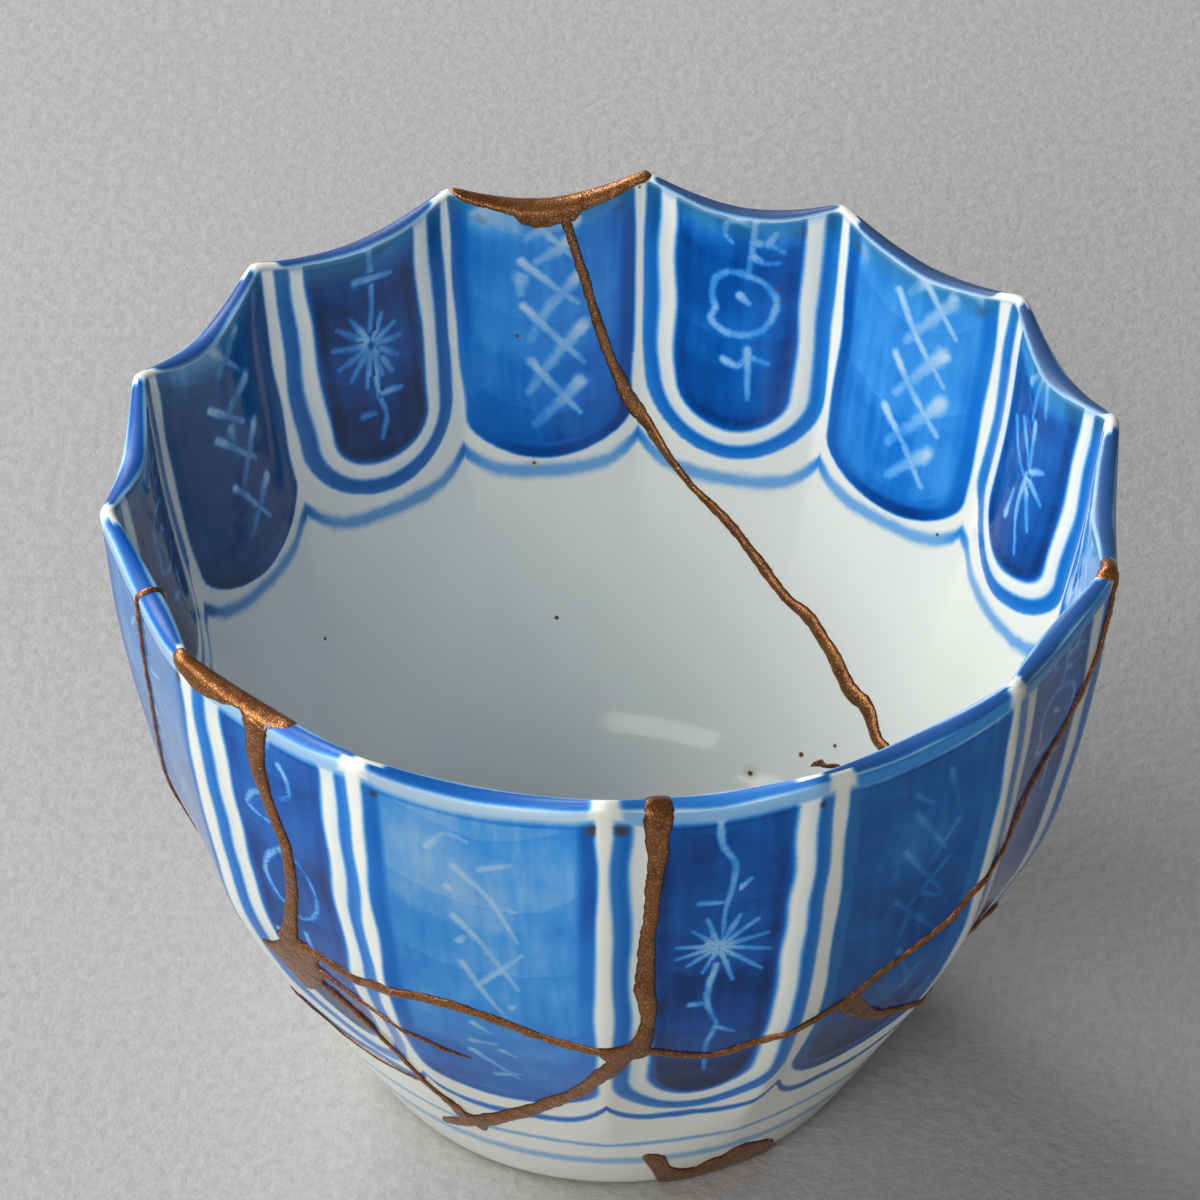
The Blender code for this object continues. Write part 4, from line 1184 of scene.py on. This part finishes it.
def skin_point(angle, length, lift):
    """Points at a small height over the cup's skin."""
    radius = np.interp(length, SKIN_LENGTHS, SKIN_RADII)
    height = np.interp(length, SKIN_LENGTHS, SKIN_HEIGHTS)
    before, after = length - SLOPE_REACH, length + SLOPE_REACH
    out = np.interp(after, SKIN_LENGTHS, SKIN_HEIGHTS) - np.interp(before, SKIN_LENGTHS, SKIN_HEIGHTS)
    up = np.interp(before, SKIN_LENGTHS, SKIN_RADII) - np.interp(after, SKIN_LENGTHS, SKIN_RADII)
    size = np.hypot(out, up)
    turn = np.radians(angle)
    normal = np.stack((out * np.cos(turn), out * np.sin(turn), up), axis=-1) / size[..., None]
    return press(angle, radius, height) + normal * np.asarray(lift)[..., None]


def waver(place, seed, kind):
    """Smooth unevenness along a length, the same on each run."""
    amount, pitch = kind
    source = np.random.default_rng(seed)
    total = np.zeros(np.shape(place))
    for octave in range(WAVER_OCTAVES):
        phase, stretch = source.uniform(0, 2 * math.pi), source.uniform(0.8, 1.3)
        wave = np.sin(place * 2 * math.pi / pitch * 2 ** octave * stretch + phase)
        total = total + wave / OCTAVE_DROP ** octave
    return amount * total / WAVER_SPAN


def smooth_break(points):
    knots = np.arange(len(points))
    return smooth_line(np.linspace(0, knots[-1], knots[-1] * BREAK_SPANS + 1), knots, points)


def lay_break(points, side):
    angle, share, width = smooth_break(points).T
    return np.column_stack((angle, skin_length(share / 100 * CUP_HEIGHT, side), width))


def over_the_lip(points):
    return np.concatenate((lay_break(points, OUTSIDE), lay_break(points, INSIDE)[::-1]))


def tube(rings):
    """A closed form through rings that run side by side: each ring's angles, lengths, lifts and crown."""
    count, corners = len(rings[0][0]), len(rings)
    points = np.stack([skin_point(angle, length, lift) for angle, length, lift, _ in rings], axis=1)
    faces = []
    for start in range(0, (count - 1) * corners, corners):
        for corner in range(corners):
            beside = (corner + 1) % corners
            faces.append((start + corner, start + beside, start + corners + beside, start + corners + corner))
    faces.append(tuple(range(corners))[::-1])
    faces.append(tuple(range((count - 1) * corners, count * corners)))
    return points.reshape(-1, 3), faces, np.tile([ring[3] for ring in rings], count)


def cross_section(count, powers, rise, under):
    """A bead's section: shares of its half width, lifts and crowns, over the top and back below the skin."""
    shares = np.linspace(-1, 1, count)
    crowns = (1 - np.abs(shares) ** powers[0]) ** powers[1]
    over = [(share, crown * (rise + SINK) - SINK, crown) for share, crown in zip(shares, crowns)]
    return over + [(share, np.full(len(rise), -UNDERSIDE), 0.0) for share in under]


def end_taper(run, reach):
    """How wide a form is near its two ends."""
    start, end = [np.sqrt(np.clip(away / reach, THINNEST, 1)) for away in (run, run[-1] - run)]
    return start * end


def bead(rows, seed):
    """A raised, ragged bead of lacquer along a break: its points, its faces and how high each point is."""
    centre = skin_point(rows[:, 0], rows[:, 1], np.zeros(len(rows)))
    run = lengths_along(centre)
    stations = np.linspace(0, run[-1], max(4, int(run[-1] / BEAD_STEP)) + 1)
    angle, length, width = [np.interp(stations, run, column) for column in rows.T]
    radius = np.interp(length, SKIN_LENGTHS, SKIN_RADII)
    along = np.gradient(np.radians(angle)) * radius
    climb = np.gradient(length)
    size = np.maximum(np.hypot(along, climb), 1e-6)
    along, climb = along / size, climb / size
    taper = end_taper(stations, BEAD_TAPER)
    left, right = [width / 2 * taper * (1 + waver(stations, seed + broad, BROAD_WAVER))
                   + waver(stations, seed + fine, FINE_WAVER) for broad, fine in ((0, 7), (3, 9))]
    full = BEAD_HEIGHT * np.minimum(1, width + NARROW_RISE)
    rise = full * taper * (1 + waver(stations, seed + 5, RISE_WAVER))
    rings = []
    for share, lift, crown in cross_section(BEAD_POINTS, BEAD_DOME, rise, BEAD_UNDER):
        offset = share * np.where(share < 0, left, right)
        side_angle = angle - np.degrees(offset * climb / np.maximum(radius, 1))
        rings.append((side_angle, length + offset * along, lift, crown))
    return tube(rings)


def fill_strip(stations, seed, edges, height):
    """A raised strip of lacquer between two edges, given at each angle as a side and a height of the skin."""
    angles = np.array([station[0] for station in stations])
    span = np.radians(angles[-1] - angles[0]) * RIM_RADIUS
    run = np.linspace(0, span, max(6, int(span / FILL_STEP)) + 1)
    angle = np.linspace(angles[0], angles[-1], len(run))
    low, high = [np.interp(angle, angles, [skin_length(level, side) for level in levels])
                 + waver(run, seed + shift, FILL_WAVER) for side, levels, shift in edges]
    taper = np.sqrt(np.clip(np.minimum(run, span - run) / FILL_TAPER, THINNEST, 1))
    middle, half = (low + high) / 2, (high - low) / 2 * taper
    section = cross_section(FILL_POINTS, FILL_DOME, (height + SINK) * taper - SINK, FILL_UNDER)
    return tube([(angle, middle + share * half, lift, crown) for share, lift, crown in section])


def rim_strip(stations, seed, height):
    """The lacquer that replaces a stretch of lip, from its outer to its inner edge."""
    outer, inner = [[CUP_HEIGHT - station[edge] for station in stations] for edge in (1, 2)]
    return fill_strip(stations, seed, ((OUTSIDE, outer, 0), (INSIDE, inner, 4)), height)


def foot_strip(stations, seed):
    low, high = [[station[edge] for station in stations] for edge in (1, 2)]
    return fill_strip(stations, seed, ((OUTSIDE, low, 0), (OUTSIDE, high, 4)), FOOT_FILL_HEIGHT)


def pool(outline, side, seed, height=BEAD_HEIGHT):
    """A raised patch of lacquer inside a rounded outline of angles and heights. A thin one is dull."""
    shine = min(1, height / BEAD_HEIGHT)
    points = np.array([(angle, skin_length(level, side)) for angle, level in outline], dtype=float)
    beyond = np.roll(points, -1, axis=0)
    if np.sum(points[:, 0] * beyond[:, 1] - beyond[:, 0] * points[:, 1]) < 0:
        points = points[::-1]
    wrapped = np.concatenate((points[-1:], points, points[:2]))
    places = np.linspace(1, len(points) + 1, POOL_SPANS * len(points) + 1)[:-1]
    edge = smooth_line(places, np.arange(len(wrapped)), wrapped)
    edge[:, 1] += waver(places, seed, POOL_WAVER)
    middle = points.mean(axis=0)
    count = len(edge)
    vertices = [skin_point(middle[:1], middle[1:], np.array([height]))]
    crowns = [np.ones(1)]
    for share in POOL_RINGS:
        crown = (1 - share ** POOL_DOME[0]) ** POOL_DOME[1]
        place = middle + share * (edge - middle)
        vertices.append(skin_point(place[:, 0], place[:, 1], np.full(count, crown * (height + SINK) - SINK)))
        crowns.append(np.full(count, crown * shine))
    for place in (middle + POOL_UNDER * (edge - middle), middle[None, :]):
        vertices.append(skin_point(place[:, 0], place[:, 1], np.full(len(place), -UNDERSIDE)))
        crowns.append(np.zeros(len(place)))
    last = 1 + (len(POOL_RINGS) + 1) * count
    faces = []
    for corner in range(count):
        beside = (corner + 1) % count
        faces.append((0, 1 + beside, 1 + corner))
        faces.append((last, last - count + corner, last - count + beside))
        for near in range(1, last - count, count):
            faces.append((near + corner, near + beside, near + count + beside, near + count + corner))
    return np.concatenate(vertices), faces, np.concatenate(crowns)


def add_lacquer(name, forms, material, replaced):
    """One piece made of one or more closed forms."""
    vertices, faces, crowns = [], [], []
    for points, form_faces, form_crowns in forms:
        start = sum(len(part) for part in vertices)
        vertices.append(points)
        crowns.append(form_crowns)
        faces += [tuple(corner + start for corner in face) for face in form_faces]
    mesh = bpy.data.meshes.new(name)
    mesh.from_pydata((np.concatenate(vertices) * MM).tolist(), [], faces)
    mesh.flip_normals()
    layer = mesh.attributes.new("crown", "FLOAT_VECTOR", "POINT")
    high = np.concatenate(crowns)
    layer.data.foreach_set("vector", np.repeat(high, 3).astype(np.float32))
    mesh.shade_smooth()
    add_piece(name, mesh, material, replaced)


def make_lacquer(material):
    """The seams with their pools, and then the fills, each on its own part."""
    both_sides = {
        "right": RIGHT_BREAK, "right_branch": RIGHT_BRANCH, "back": BACK_BREAK, "left": LEFT_BREAK,
        "left_upper": LEFT_UPPER_BRANCH,
    }
    outside_only = {
        "left_middle": LEFT_MIDDLE_BRANCH, "left_lower": LEFT_LOWER_BRANCH, "left_thin": LEFT_THIN_BRANCH,
        "bottom_arc": BOTTOM_ARC,
    }
    seams = [("front", "", over_the_lip(FRONT_BREAK), 11), ("far_left", "", over_the_lip(FAR_LEFT_BREAK), 12)]
    for index, (name, points) in enumerate(both_sides.items()):
        for side, ending in ((OUTSIDE, "_outside"), (INSIDE, "_inside")):
            seams.append((name, ending, lay_break(points, side), 20 + 2 * index + side))
    for index, (name, points) in enumerate(outside_only.items()):
        seams.append((name, "", lay_break(points, OUTSIDE), 60 + index))
    pools = {
        "front": (FRONT_POOL, OUTSIDE, 81), "right_branch_outside": (RIGHT_POOL, OUTSIDE, 82),
        "left_outside": (LEFT_POOL, OUTSIDE, 82), "back_inside": (WELL_POOL, INSIDE, 82, THIN_HEIGHT),
        "bottom_arc": (BOTTOM_POOL, OUTSIDE, 83),
    }
    for name, ending, rows, seed in seams:
        forms = [bead(rows, seed)]
        if name + ending in pools:
            forms.append(pool(*pools[name + ending]))
        add_lacquer(name + "_seam" + ending, forms, material, "seam_" + name + ending)
    fills = (
        ("back_lip_fill", rim_strip(BACK_FILL, 71, BACK_FILL_HEIGHT), "rim_fill_back"),
        ("left_lip_fill", rim_strip(LEFT_FILL, 72, LEFT_FILL_HEIGHT), "rim_fill_left"),
        ("right_lip_fill", rim_strip(RIGHT_FILL, 73, RIGHT_FILL_HEIGHT), "rim_fill_right"),
        ("foot_edge_fill", foot_strip(FOOT_FILL, 74), "foot_fill"),
    )
    for name, form, node in fills:
        add_lacquer(name, [form], material, node)


# Floor, lights and camera, in metres

CAMERA_PLACE = (0, -0.3610, 0.3366)
CAMERA_PITCH_DEG = 39.23
CAMERA_YAW_DEG = 0.18
CAMERA_LENS = 187.2
SENSOR_WIDTH = 36.0
FLOOR_SIZE = 6.0
SKY_STRENGTH = 0.13


def make_floor():
    bpy.ops.mesh.primitive_plane_add(size=FLOOR_SIZE)
    floor = bpy.context.object
    floor.name = "floor"
    floor.data.materials.append(floor_cloth())


def add_light(name, place, aim, size, power, colour=(1, 1, 1)):
    data = bpy.data.lights.new(name, "AREA")
    data.shape = "RECTANGLE"
    data.size, data.size_y = size
    data.energy = power
    data.color = colour
    lamp = bpy.data.objects.new(name, data)
    bpy.context.scene.collection.objects.link(lamp)
    lamp.location = place
    direction = np.array(aim, dtype=float) - np.array(place)
    lamp.rotation_euler = look_along(direction)


def look_along(direction):
    """The turn that points an object's -Z along a direction."""
    flat = math.hypot(direction[0], direction[1])
    pitch = math.atan2(flat, -direction[2])
    turn = math.atan2(-direction[0], direction[1]) if flat > 0 else 0
    return (pitch, 0, turn)


def make_lights():
    world = bpy.data.worlds.new("studio")
    world.use_nodes = True
    background = world.node_tree.nodes["Background"]
    background.inputs["Color"].default_value = (1, 1, 1, 1)
    background.inputs["Strength"].default_value = SKY_STRENGTH
    bpy.context.scene.world = world
    middle = (0, 0, 0.03)
    add_light("key", (-0.6, 0.05, 0.5), middle, (0.5, 0.5), 6.2)
    add_light("window", (-0.32, 0.62, 0.42), middle, (0.26, 0.19), 3.6)
    add_light("front_fill", (-0.3, -0.75, 0.5), middle, (0.6, 0.6), 5.8)


def make_camera():
    data = bpy.data.cameras.new("camera")
    data.lens = CAMERA_LENS
    data.sensor_width = SENSOR_WIDTH
    camera = bpy.data.objects.new("camera", data)
    bpy.context.scene.collection.objects.link(camera)
    camera.location = CAMERA_PLACE
    camera.rotation_euler = (math.radians(90 - CAMERA_PITCH_DEG), 0, math.radians(CAMERA_YAW_DEG))
    bpy.context.scene.camera = camera


make_camera()
make_floor()
make_lights()
make_cup(painted_glaze())
make_lacquer(gold_lacquer())
bpy.context.scene.view_settings.view_transform = "Standard"
